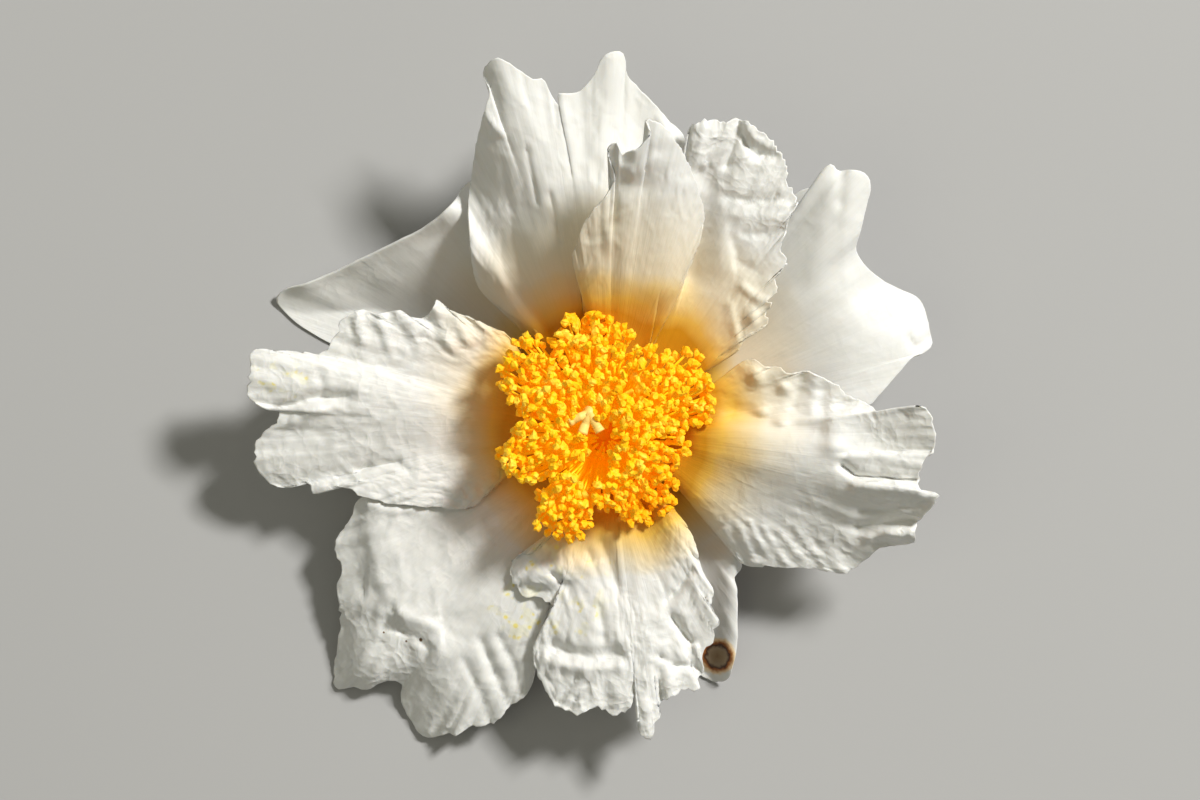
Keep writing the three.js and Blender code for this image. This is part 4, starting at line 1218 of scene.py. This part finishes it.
# The glow values below are painted light, a faint orange emission standing in for light scattered through the
# stamens.
ANTHER = AntherFinish("Anther pollen", 0.6, 0.0, (1.0, 0.55, 0.08), 0.0012, 0.0, glow=0.14)
FILAMENT = RisingFinish("Filament", 0.5, 0.0, (1.0, 0.5, 0.1), 0.002, 0.0, glow=0.2)
STYLE = RisingFinish(
    "Style", 0.45, 0.0, (1.0, 0.8, 0.5), 0.001, 0.0, glow=0.04, low=(1.0, 0.42, 0.004), top=(1.0, 0.72, 0.22),
    rise=(0.0165, 0.0195), dark=(0.85, 0.8, 0.7), light=(1.05, 1.05, 1.05), fine=1400.0, broad=350.0,
    strength=0.6,
)
STALK = TissueFinish(
    "Stalk", 0.6, 0.1, (0.5, 0.8, 0.3), 0.0006, 0.1, light=(0.26, 0.27, 0.08), dark=(0.13, 0.1, 0.04),
)
SEPAL = TissueFinish(
    "Sepal down", 0.75, 0.1, (0.6, 0.6, 0.3), 0.0006, 0.5, light=(0.34, 0.29, 0.13), dark=(0.16, 0.13, 0.05),
    depth=0.0003,
)
MARKS = {
    "petal_bottom_front": Marks(pollen=(-0.004, -0.025, 0.0085)),
    "petal_bottom_left": Marks(
        pollen=(-0.008, -0.028, 0.007),
        spots=((-0.028, -0.0315, 0.00022), (-0.025, -0.0327, 0.0003), (-0.023, -0.0325, 0.0004)),
    ),
    "petal_left": Marks(pollen=(-0.041, 0.004, 0.005)),
    "petal_bottom_right": Marks(scar=(0.0168, -0.0348, 0.0019)),
}


# ---- Building pieces -------------------------------------------------------------------


def piece(
    name: str, mesh: bpy.types.Mesh, material: bpy.types.Material, slot: Slot, *nodes: str,
    smooth: bool = True, thickness: float = 0.0,
) -> None:
    """One finished piece, riding on the flower and standing for its solids.

    Args:
        name: The piece's name.
        mesh: Its mesh, in metres, in place.
        material: Its finish.
        slot: The record's slot; not used.
        nodes: The solids that it replaces.
        smooth: False where its faces show as facets.
        thickness: In millimetres, where its mesh is a middle surface.
    """
    mesh.materials.append(material)
    if smooth:
        mesh.shade_smooth()
    else:
        mesh.shade_flat()
    made = bpy.data.objects.new(name, mesh)
    bpy.context.scene.collection.objects.link(made)
    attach(made, "root")
    if nodes:
        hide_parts(*nodes)
    if thickness:
        wall = made.modifiers.new("Thickness", "SOLIDIFY")
        wall.thickness = thickness * MM
        wall.offset = 0.0
    LOG.info("%s: %d faces", name, len(mesh.polygons))


def places_of(mesh: bpy.types.Mesh) -> np.ndarray:
    """The mesh's vertex places.

    Args:
        mesh: The mesh.

    Returns:
        A row of x, y and z for each vertex.
    """
    flat = np.empty(len(mesh.vertices) * 3)
    mesh.vertices.foreach_get("co", flat)
    return flat.reshape(-1, 3)


def to_mesh(shape: bmesh.types.BMesh, name: str, outward: bool = True) -> bpy.types.Mesh:
    """A bmesh as a mesh, which uses the bmesh up.

    Args:
        shape: The bmesh.
        name: The mesh's name.
        outward: False where the faces keep their sides.

    Returns:
        The new mesh.
    """
    if outward:
        bmesh.ops.recalc_face_normals(shape, faces=shape.faces[:])
    mesh = bpy.data.meshes.new(name)
    shape.to_mesh(mesh)
    shape.free()
    return mesh


def in_metres(shape: bmesh.types.BMesh) -> bmesh.types.BMesh:
    """The same bmesh, brought from millimetres to metres."""
    bmesh.ops.scale(shape, vec=(MM, MM, MM), verts=shape.verts[:])
    return shape


def tube(centres: list[Vector], radii: list[float], sides: int) -> bmesh.types.BMesh:
    """A closed tube, made by drawing a round face out station by station.

    Args:
        centres: The middle of each station.
        radii: The radius at each station.
        sides: How many sides it has.

    Returns:
        The tube.
    """
    shape = bmesh.new()
    bmesh.ops.create_circle(shape, cap_ends=True, radius=1.0, segments=sides)
    turns = []
    for i, centre in enumerate(centres):
        along = centres[min(i + 1, len(centres) - 1)] - centres[max(i - 1, 0)]
        turn = along.to_track_quat("Z", "Y").to_matrix().to_4x4()
        turns.append(Matrix.Translation(centre) @ turn @ Matrix.Scale(radii[i], 4))
    bmesh.ops.transform(shape, matrix=turns[0], verts=shape.verts[:])
    cap = shape.faces[:]
    for before, after in zip(turns, turns[1:]):
        grown = bmesh.ops.extrude_face_region(shape, geom=cap)["geom"]
        cap = [g for g in grown if isinstance(g, bmesh.types.BMFace)]
        ring = [g for g in grown if isinstance(g, bmesh.types.BMVert)]
        bmesh.ops.transform(shape, matrix=after @ before.inverted(), verts=ring)
    return shape


def turned(profile: tuple[Pair, ...], steps: int) -> bmesh.types.BMesh:
    """A solid spun round the flower's axis.

    Args:
        profile: Radius and height pairs, in millimetres.
        steps: How many steps make the whole turn.

    Returns:
        The solid.
    """
    shape = bmesh.new()
    verts = [shape.verts.new((AXIS[0] + r, AXIS[1], z)) for r, z in profile]
    edges = [shape.edges.new(pair) for pair in zip(verts, verts[1:])]
    bmesh.ops.spin(
        shape, geom=verts + edges, cent=(AXIS[0], AXIS[1], 0), axis=(0, 0, 1), angle=2 * math.pi,
        steps=steps, use_merge=True,
    )
    bmesh.ops.remove_doubles(shape, verts=shape.verts[:], dist=0.01)
    return shape


@dataclass
class Corolla:
    """All ten petals, each laid over those that it covers."""

    petals: tuple[Petal, ...] = PETALS
    gap: float = 0.5
    seed: int = 11

    def build(self, groups: Groups) -> None:
        """Lays and dresses every petal.

        Args:
            groups: The shared node groups.
        """
        plain = {finish.name: finish.make(groups) for finish in (SMOOTH, CREASED)}
        laid: dict[str, Petal] = {}
        for number, petal in enumerate(self.petals):
            petal.spread(self.seed + number)
            if petal.over:
                cover = Cover()
                for name in petal.over:
                    cover.add(laid[name].surface)
                petal.lay_over(cover, self.gap)
            laid[petal.node] = petal
            finish = CREASED if petal.creased else SMOOTH
            marks = MARKS.get(petal.node)
            material = replace(finish, marks=marks).make(groups) if marks else plain[finish.name]
            name = petal.node.replace("petal_", "blade_")
            piece(name, petal.mesh(), material, Slot.PETAL, petal.node, thickness=petal.thickness)


@dataclass
class Stamens:
    """The boss of stamens, parted into tufts of anthers on fanned filaments.

    A tuft is a middle and two half widths in plan. A layer is a depth below the dome and the
    least space between its anthers. The dome falls with the square of the way out, and by
    low_slope towards low_side once past low_from. bow is how far out and up a filament bends,
    and taper is its thickness at the foot and what it loses on the way. Anthers keep
    style_room away from style_arms. Lengths are in millimetres.
    """

    tufts: tuple[tuple[float, float, float, float], ...] = (
        (0.0, 7.2, 5.0, 4.3), (-8.3, 7.3, 1.9, 0.8), (5.5, 5.3, 3.3, 1.3), (1.8, 1.2, 5.2, 3.9),
        (11.0, 0.4, 5.0, 5.1), (13.3, 4.6, 1.8, 1.5), (11.2, -6.6, 1.3, 1.5), (6.8, -11.2, 4.6, 5.6),
        (1.8, -12.7, 1.8, 1.8), (-4.0, -15.1, 4.0, 3.4), (-4.6, -10.4, 2.0, 0.8), (-8.8, -10.4, 1.5, 1.2),
        (-7.5, -6.5, 4.3, 3.6), (-3.0, -6.2, 2.3, 1.8), (-11.2, -8.8, 1.4, 1.5), (-8.7, 3.0, 3.7, 3.6),
        (-7.5, -1.3, 2.0, 1.6), (-3.8, 1.5, 1.3, 1.0), (6.0, -3.6, 3.2, 2.2), (-3.6, -1.6, 2.0, 1.6),
    )
    layers: tuple[Pair, ...] = ((0.0, 1.14), (1.7, 1.2))
    tries: int = 60
    ring: Pair = (2.2, 3.3)
    ring_profile: tuple[Pair, ...] = ((2.1, 9.7), (3.5, 9.7), (3.5, 10.4), (3.1, 11), (2.1, 11), (2.1, 9.7))
    foot: float = 10.3
    dome: float = 22.6
    fall: float = 0.012
    low_side: Pair = (0.6, -0.8)
    low_slope: float = 0.5
    low_from: float = 2.0
    sunk: tuple[float, ...] = (0.0, 0.0, -0.8)
    uneven: float = 0.5
    root_share: Pair = (0.1, 0.9)
    bow: Pair = (0.42, 0.6)
    neck_in: float = 0.3
    neck_drop: float = 1.0
    tip_out: Pair = (-0.4, 1.4)
    tip_aside: float = 1.1
    head_size: Pair = (1.3, 1.75)
    head_width: Pair = (0.85, 1.15)
    head_length: Pair = (0.8, 1.05)
    dents: float = 0.17
    seat: float = 0.42
    filament: float = 0.2
    taper: Pair = (1.25, 0.45)
    filament_range: Pair = (0.85, 1.15)
    bare: int = 70
    bare_reach: Pair = (0.2, 1.0)
    bare_top: Pair = (13.5, 16.5)
    bare_bow: float = 0.8
    style_arms: Pair = (-1.0, -3.4)
    style_room: float = 2.0
    lobe_apart: float = 0.27
    lobe_turn: float = 0.25
    lobe_half: tuple[float, float, float] = (0.38, 0.34, 0.47)
    seed: int = 5

    def spots(self, draw: np.random.Generator) -> np.ndarray:
        """Where the anthers stand, each clear of the others in its layer.

        Args:
            draw: The seeded draws.

        Returns:
            A row of x, y and depth for each anther.
        """
        kept: list[tuple[float, float, float]] = []
        for depth, spacing in self.layers:
            layer: list[Pair] = []
            for x, y, a, b in self.tufts:
                for _ in range(int(self.tries * a * b)):
                    u, v = draw.uniform(-1, 1, 2)
                    spot = (x + u * a, y + v * b)
                    if u * u + v * v <= 1 and all(math.dist(spot, other) > spacing for other in layer):
                        layer.append(spot)
            kept += [(x, y, depth) for x, y in layer]
        return np.array(kept)

    def anther(self) -> bpy.types.Mesh:
        """The shape of one anther of unit length: two swollen lobes side by side.

        Returns:
            Its mesh.
        """
        shape = bmesh.new()
        for side in (-1, 1):
            turn = Matrix.Rotation(side * self.lobe_turn, 4, "Y")
            place = Matrix.Translation((side * self.lobe_apart, 0, 0)) @ turn
            place = place @ Matrix.Diagonal((*self.lobe_half, 1))
            bmesh.ops.create_uvsphere(shape, u_segments=6, v_segments=4, radius=1.0, matrix=place)
        return to_mesh(shape, "anther form")

    def repeated(self, form: bpy.types.Mesh, places: list[np.ndarray], name: str) -> bpy.types.Mesh:
        """Copies of one form joined in a mesh.

        Args:
            form: The mesh to repeat.
            places: The vertex places of each copy, in millimetres.
            name: The new mesh's name.

        Returns:
            The joined mesh, in metres.
        """
        shape = bmesh.new()
        for _ in places:
            shape.from_mesh(form)
        mesh = to_mesh(shape, name, outward=False)
        mesh.vertices.foreach_set("co", (np.concatenate(places) * MM).ravel())
        mesh.update()
        return mesh

    def build(self, groups: Groups) -> None:
        """Places the stamens and the ring at their feet.

        Args:
            groups: The shared node groups.
        """
        draw = np.random.default_rng(self.seed)
        anther = self.anther()
        lobes = places_of(anther)
        stations = 10
        centres = [Vector((0, 0, k / (stations - 1))) for k in range(stations)]
        thread = to_mesh(tube(centres, [1.0] * stations, 5), "filament form")
        line = places_of(thread)
        heads, threads = [], []
        axis = np.array([*AXIS, 0.0])
        # Short filaments without anthers fill the middle, between the style and the ring.
        for _ in range(self.bare):
            turn, reach = draw.uniform(0, math.tau), draw.uniform(*self.bare_reach)
            out = np.array([math.cos(turn), math.sin(turn), 0.0])
            root = axis + out * self.ring[0] + [0, 0, self.foot]
            end = axis + out * self.ring[1] * reach + [0, 0, draw.uniform(*self.bare_top)]
            bend = (root + end) / 2 + out * self.bare_bow
            threads.append(self.thread(line, root, bend, end, draw))
        for spot in self.spots(draw):
            root, bend, neck, tip = self.course(spot, draw)
            if math.dist(neck[:2], self.style_arms) < self.style_room:
                continue
            heads.append(self.head(lobes, neck, tip, draw))
            threads.append(self.thread(line, root, bend, neck, draw))
        boss = self.repeated(anther, heads, "anthers")
        piece("anthers", boss, ANTHER.make(groups), Slot.STAMEN, "stamens", smooth=False)
        foot = to_mesh(in_metres(turned(self.ring_profile, 48)), "stamen ring form")
        joined = bmesh.new()
        joined.from_mesh(self.repeated(thread, threads, "filament threads"))
        joined.from_mesh(foot)
        mesh = to_mesh(joined, "filaments", outward=False)
        piece("filaments", mesh, FILAMENT.make(groups), Slot.STAMEN, "stamens")

    def course(self, spot: np.ndarray, draw: np.random.Generator) -> tuple:
        """How one stamen runs.

        Args:
            spot: Its anther's x, y and depth.
            draw: The seeded draws.

        Returns:
            Its root, its bend, its neck and the direction of its anther.
        """
        depth = spot[2]
        out = np.array([*(spot[:2] - AXIS), 0.0])
        reach = np.linalg.norm(out)
        out /= reach
        axis = np.array([*AXIS, 0.0])
        ring = self.ring[0] + (self.ring[1] - self.ring[0]) * draw.uniform(*self.root_share)
        up = np.array([0.0, 0.0, 1.0])
        root = axis + out * ring + up * self.foot
        # The boss stands lower on its lower right side.
        aside = out[0] * reach * self.low_side[0] + out[1] * reach * self.low_side[1]
        lean = self.low_slope * max(0.0, aside - self.low_from)
        top = self.dome - depth - lean - self.fall * reach * reach + draw.choice(self.sunk)
        top += draw.uniform(-self.uneven, self.uneven)
        high = top - self.neck_drop
        neck = axis + out * (reach - self.neck_in) + up * high
        away, rise = self.bow
        bend = axis + out * (ring + (reach - ring) * away) + up * (self.foot + (high - self.foot) * rise)
        bend[:2] += draw.uniform(-self.uneven, self.uneven, 2)
        tip = out * draw.uniform(*self.tip_out) + up
        tip = tip + np.array([*draw.uniform(-self.tip_aside, self.tip_aside, 2), 0.0])
        return root, bend, neck, tip / np.linalg.norm(tip)

    def head(
        self, lobes: np.ndarray, neck: np.ndarray, tip: np.ndarray, draw: np.random.Generator
    ) -> np.ndarray:
        """One anther.

        Args:
            lobes: The vertex places of the unit anther.
            neck: Where its filament ends.
            tip: The direction that it points in.
            draw: The seeded draws.

        Returns:
            Its vertex places.
        """
        turn = draw.uniform(0, math.tau)
        side = np.cross(tip, [math.cos(turn), math.sin(turn), 0.2])
        side /= np.linalg.norm(side)
        other = np.cross(tip, side)
        # Each anther has its own size, width and dents, and sits on its neck.
        size = draw.uniform(*self.head_size)
        width = draw.uniform(*self.head_width)
        dented = lobes * (1 + self.dents * draw.standard_normal(lobes.shape))
        local = dented * size * np.array([width, 1.0, draw.uniform(*self.head_length)])
        return neck + local[:, :1] * side + local[:, 1:2] * other + (local[:, 2:] + self.seat * size) * tip

    def thread(
        self, line: np.ndarray, root: np.ndarray, bend: np.ndarray, neck: np.ndarray,
        draw: np.random.Generator,
    ) -> np.ndarray:
        """One filament along its curve.

        Args:
            line: The vertex places of the unit filament.
            root: Where it starts.
            bend: Where it heads for on its way.
            neck: Where it ends.
            draw: The seeded draws.

        Returns:
            Its vertex places.
        """
        t = line[:, 2:]
        middle = (1 - t) ** 2 * root + 2 * t * (1 - t) * bend + t**2 * (neck + [0, 0, 0.25])
        along = 2 * (1 - t) * (bend - root) + 2 * t * (neck - bend)
        along /= np.linalg.norm(along, axis=1, keepdims=True)
        side = np.cross(along, [1.0, 0.3, 0.0])
        side /= np.linalg.norm(side, axis=1, keepdims=True)
        other = np.cross(along, side)
        foot, loss = self.taper
        radius = self.filament * (foot - loss * t) * draw.uniform(*self.filament_range)
        return middle + radius * (line[:, :1] * side + line[:, 1:2] * other)


@dataclass
class Pistil:
    """The ovary, the leaning style and its three arms, in millimetres.

    steps counts the stations along the style and along an arm, and arm_taper is an arm's
    thickness at its foot and what it gains, as shares of the style's.
    """

    ovary: tuple[Pair, ...] = (
        (0, 9.7), (1.7, 9.7), (2.05, 10.5), (1.9, 11.2), (1.3, 12), (0.6, 12.6), (0, 12.7),
    )
    lean: Pair = (-2.4, 3.6)
    low: float = 11.8
    high: float = 20.7
    radius: float = 0.72
    arm: float = 2.9
    arm_from: float = 0.95
    arm_taper: Pair = (0.75, 0.25)
    rise: float = 0.5
    turns: tuple[float, ...] = (5.25, 4.4, 3.55)
    steps: tuple[int, int] = (10, 8)

    def style_at(self, t: float) -> Vector:
        """A point of the style's middle line."""
        height = self.low + (self.high - self.low) * t
        return Vector((AXIS[0] + self.lean[0] * t * t, AXIS[1] + self.lean[1] * t * t, height))

    def arm_tube(self, turn: float) -> bmesh.types.BMesh:
        """One arm of the style, rising a little as it spreads.

        Args:
            turn: The way it points in plan, in radians.

        Returns:
            The arm.
        """
        out = Vector((math.cos(turn), math.sin(turn), 0))
        root, steps = self.style_at(self.arm_from), self.steps[1]
        shares = [k / steps for k in range(steps + 1)]
        centres = [root + out * self.arm * t + Vector((0, 0, self.rise * math.sqrt(t))) for t in shares]
        thin, swell = self.arm_taper
        return tube(centres, [self.radius * (thin + swell * t * t) for t in shares], 10)

    def build(self, groups: Groups) -> None:
        """Models the pistil in one piece.

        Args:
            groups: The shared node groups.
        """
        whole = turned(self.ovary, 24)
        steps = self.steps[0]
        centres = [self.style_at(k / steps) for k in range(steps + 1)]
        style = tube(centres, [self.radius] * len(centres), 12)
        for part in (style, *map(self.arm_tube, self.turns)):
            whole.from_mesh(to_mesh(part, "pistil form"))
        piece("style", to_mesh(in_metres(whole), "style"), STYLE.make(groups), Slot.STYLE, "pistil")


@dataclass
class Base:
    """The receptacle with its cut stub of stalk, and the five sepals round it, in millimetres."""

    knob: tuple[Pair, ...] = (
        (0, 1.15), (1.1, 1.1), (1.45, 1.0), (1.5, 1.2), (1.35, 2.0), (1.4, 2.6), (2.1, 3.3), (2.9, 3.9),
        (3.6, 4.3), (3.9, 5.0), (3.9, 8.4), (3.6, 9.1), (3.0, 9.4), (0, 9.4),
    )
    sepals: int = 5
    length: float = 9.0
    half_width: float = 4.14
    root: float = 4.3
    height: float = 4.9
    rise: float = 1.5
    turn: float = 0.35
    thickness: float = 0.55
    wave: float = 0.1
    blunt: float = 0.3
    bend: Pair = (0.6, 0.4)

    def build(self, groups: Groups) -> None:
        """Models the receptacle and the sepals.

        Args:
            groups: The shared node groups.
        """
        knob = to_mesh(in_metres(turned(self.knob, 36)), "stalk")
        piece("stalk", knob, STALK.make(groups), Slot.STALK, "receptacle")
        down = SEPAL.make(groups)
        for number in range(self.sepals):
            name, node = f"scale_{number + 1}", f"sepal_{number + 1}"
            piece(name, self.sepal(number, name), down, Slot.SEPAL, node, thickness=self.thickness)

    def sepal(self, number: int, name: str) -> bpy.types.Mesh:
        """One broad scale, cupped along its middle.

        Args:
            number: Which one, from 0.
            name: Its mesh's name.

        Returns:
            Its middle surface.
        """
        turn = self.turn + math.tau * number / self.sepals
        out = np.array([math.cos(turn), math.sin(turn)])
        side = np.array([-out[1], out[0]])
        grid = bmesh.new()
        bmesh.ops.create_grid(grid, x_segments=28, y_segments=24, size=0.5)
        along, cup = self.bend
        for vert in grid.verts:
            across, t = 2 * vert.co.x, vert.co.y + 0.5
            spread = 0.35 + 0.65 * math.sin(math.pi * (0.12 + 0.74 * t))
            reach = self.length * t * (1 - self.blunt * across * across)
            plan = AXIS + out * (self.root + reach) + side * across * spread * self.half_width
            z = self.height + self.rise * (along * t * t + cup * across * across * t)
            z += self.wave * math.sin(9 * across) * t
            vert.co = (plan[0] * MM, plan[1] * MM, z * MM)
        return to_mesh(grid, name, outward=False)


# ---- Studio ----------------------------------------------------------------------------


@dataclass(frozen=True)
class Lamp:
    """A square lamp aimed at the bloom, by its direction in degrees and its distance in metres."""

    name: str
    azimuth: float
    elevation: float
    away: float
    size: float
    power: float
    colour: Colour

    def hang(self, height: float) -> None:
        """Adds the lamp.

        Args:
            height: Of the point that it is aimed at, in metres.
        """
        light = bpy.data.lights.new(self.name, "AREA")
        light.shape = "SQUARE"
        light.size = self.size
        light.energy = self.power
        light.color = self.colour
        made = bpy.data.objects.new(self.name, light)
        a, e = math.radians(self.azimuth), math.radians(self.elevation)
        where = Vector((math.cos(a) * math.cos(e), math.sin(a) * math.cos(e), math.sin(e))) * self.away
        made.location = where + Vector((0, 0, height))
        made.rotation_euler = (-where).to_track_quat("-Z", "Y").to_euler()
        bpy.context.scene.collection.objects.link(made)


@dataclass
class Studio:
    """The pale floor, the soft lamps and the camera above the bloom, in metres."""

    frame_width: float = 0.160
    distance: float = 1.5
    middle: Pair = (0.001, -0.00033)
    plane_height: float = 0.015
    sensor: float = 36.0
    floor_grey: float = 0.42
    floor_half: float = 3.0
    floor_drop: float = 0.0001
    sky_colour: Colour = (1.0, 0.985, 0.88)
    sky_strength: float = 0.2
    lamps: tuple[Lamp, ...] = (
        Lamp("Key lamp", 40, 43, 1.4, 0.24, 24.6, (1.0, 0.985, 0.95)),
        Lamp("Fill lamp", 200, 60, 1.6, 1.2, 2.8, (1.0, 0.985, 0.76)),
    )

    def floor(self) -> None:
        """A plain pale surface under the bloom."""
        shape = bmesh.new()
        bmesh.ops.create_grid(shape, x_segments=1, y_segments=1, size=self.floor_half)
        bmesh.ops.translate(shape, vec=(0, 0, -self.floor_drop), verts=shape.verts[:])
        mesh = to_mesh(shape, "floor", outward=False)
        material = bpy.data.materials.new("Floor")
        material.use_nodes = True
        board = Board(material.node_tree)
        shader = material.node_tree.nodes["Principled BSDF"]
        grey = self.floor_grey
        noise = board.noise(board.place(), 4.0, 2.0).outputs[0]
        tone = board.ramp(noise, (0.3, (grey * 0.97,) * 3), (0.7, (grey * 1.03,) * 3))
        board.link(tone, shader.inputs["Base Color"])
        shader.inputs["Roughness"].default_value = 0.9
        mesh.materials.append(material)
        made = bpy.data.objects.new("floor", mesh)
        bpy.context.scene.collection.objects.link(made)

    def build(self) -> None:
        """Sets up the floor, the light and the camera."""
        self.floor()
        for lamp in self.lamps:
            lamp.hang(self.plane_height)
        world = bpy.data.worlds.new("Studio")
        world.use_nodes = True
        sky = world.node_tree.nodes["Background"]
        sky.inputs["Color"].default_value = (*self.sky_colour, 1)
        sky.inputs["Strength"].default_value = self.sky_strength
        scene = bpy.context.scene
        scene.world = world
        scene.view_settings.view_transform = "Standard"
        camera = bpy.data.cameras.new("Camera")
        camera.sensor_width = self.sensor
        camera.lens = self.sensor * (self.distance - self.plane_height) / self.frame_width
        camera.clip_start, camera.clip_end = 0.05, 20.0
        made = bpy.data.objects.new("Camera", camera)
        made.location = (*self.middle, self.distance)
        scene.collection.objects.link(made)
        scene.camera = made


def main() -> None:
    """Builds the studio and the bloom."""
    logging.basicConfig(level=logging.INFO, format="%(message)s")
    Studio().build()
    groups = {
        "grain": fine_grain(), "veins": petal_veins(), "throat": throat_tint_and_bounce_light(), "crumple": crumpled_tissue(),
    }
    for part in (Base(), Corolla(), Pistil(), Stamens()):
        part.build(groups)


if __name__ == "__main__":
    main()
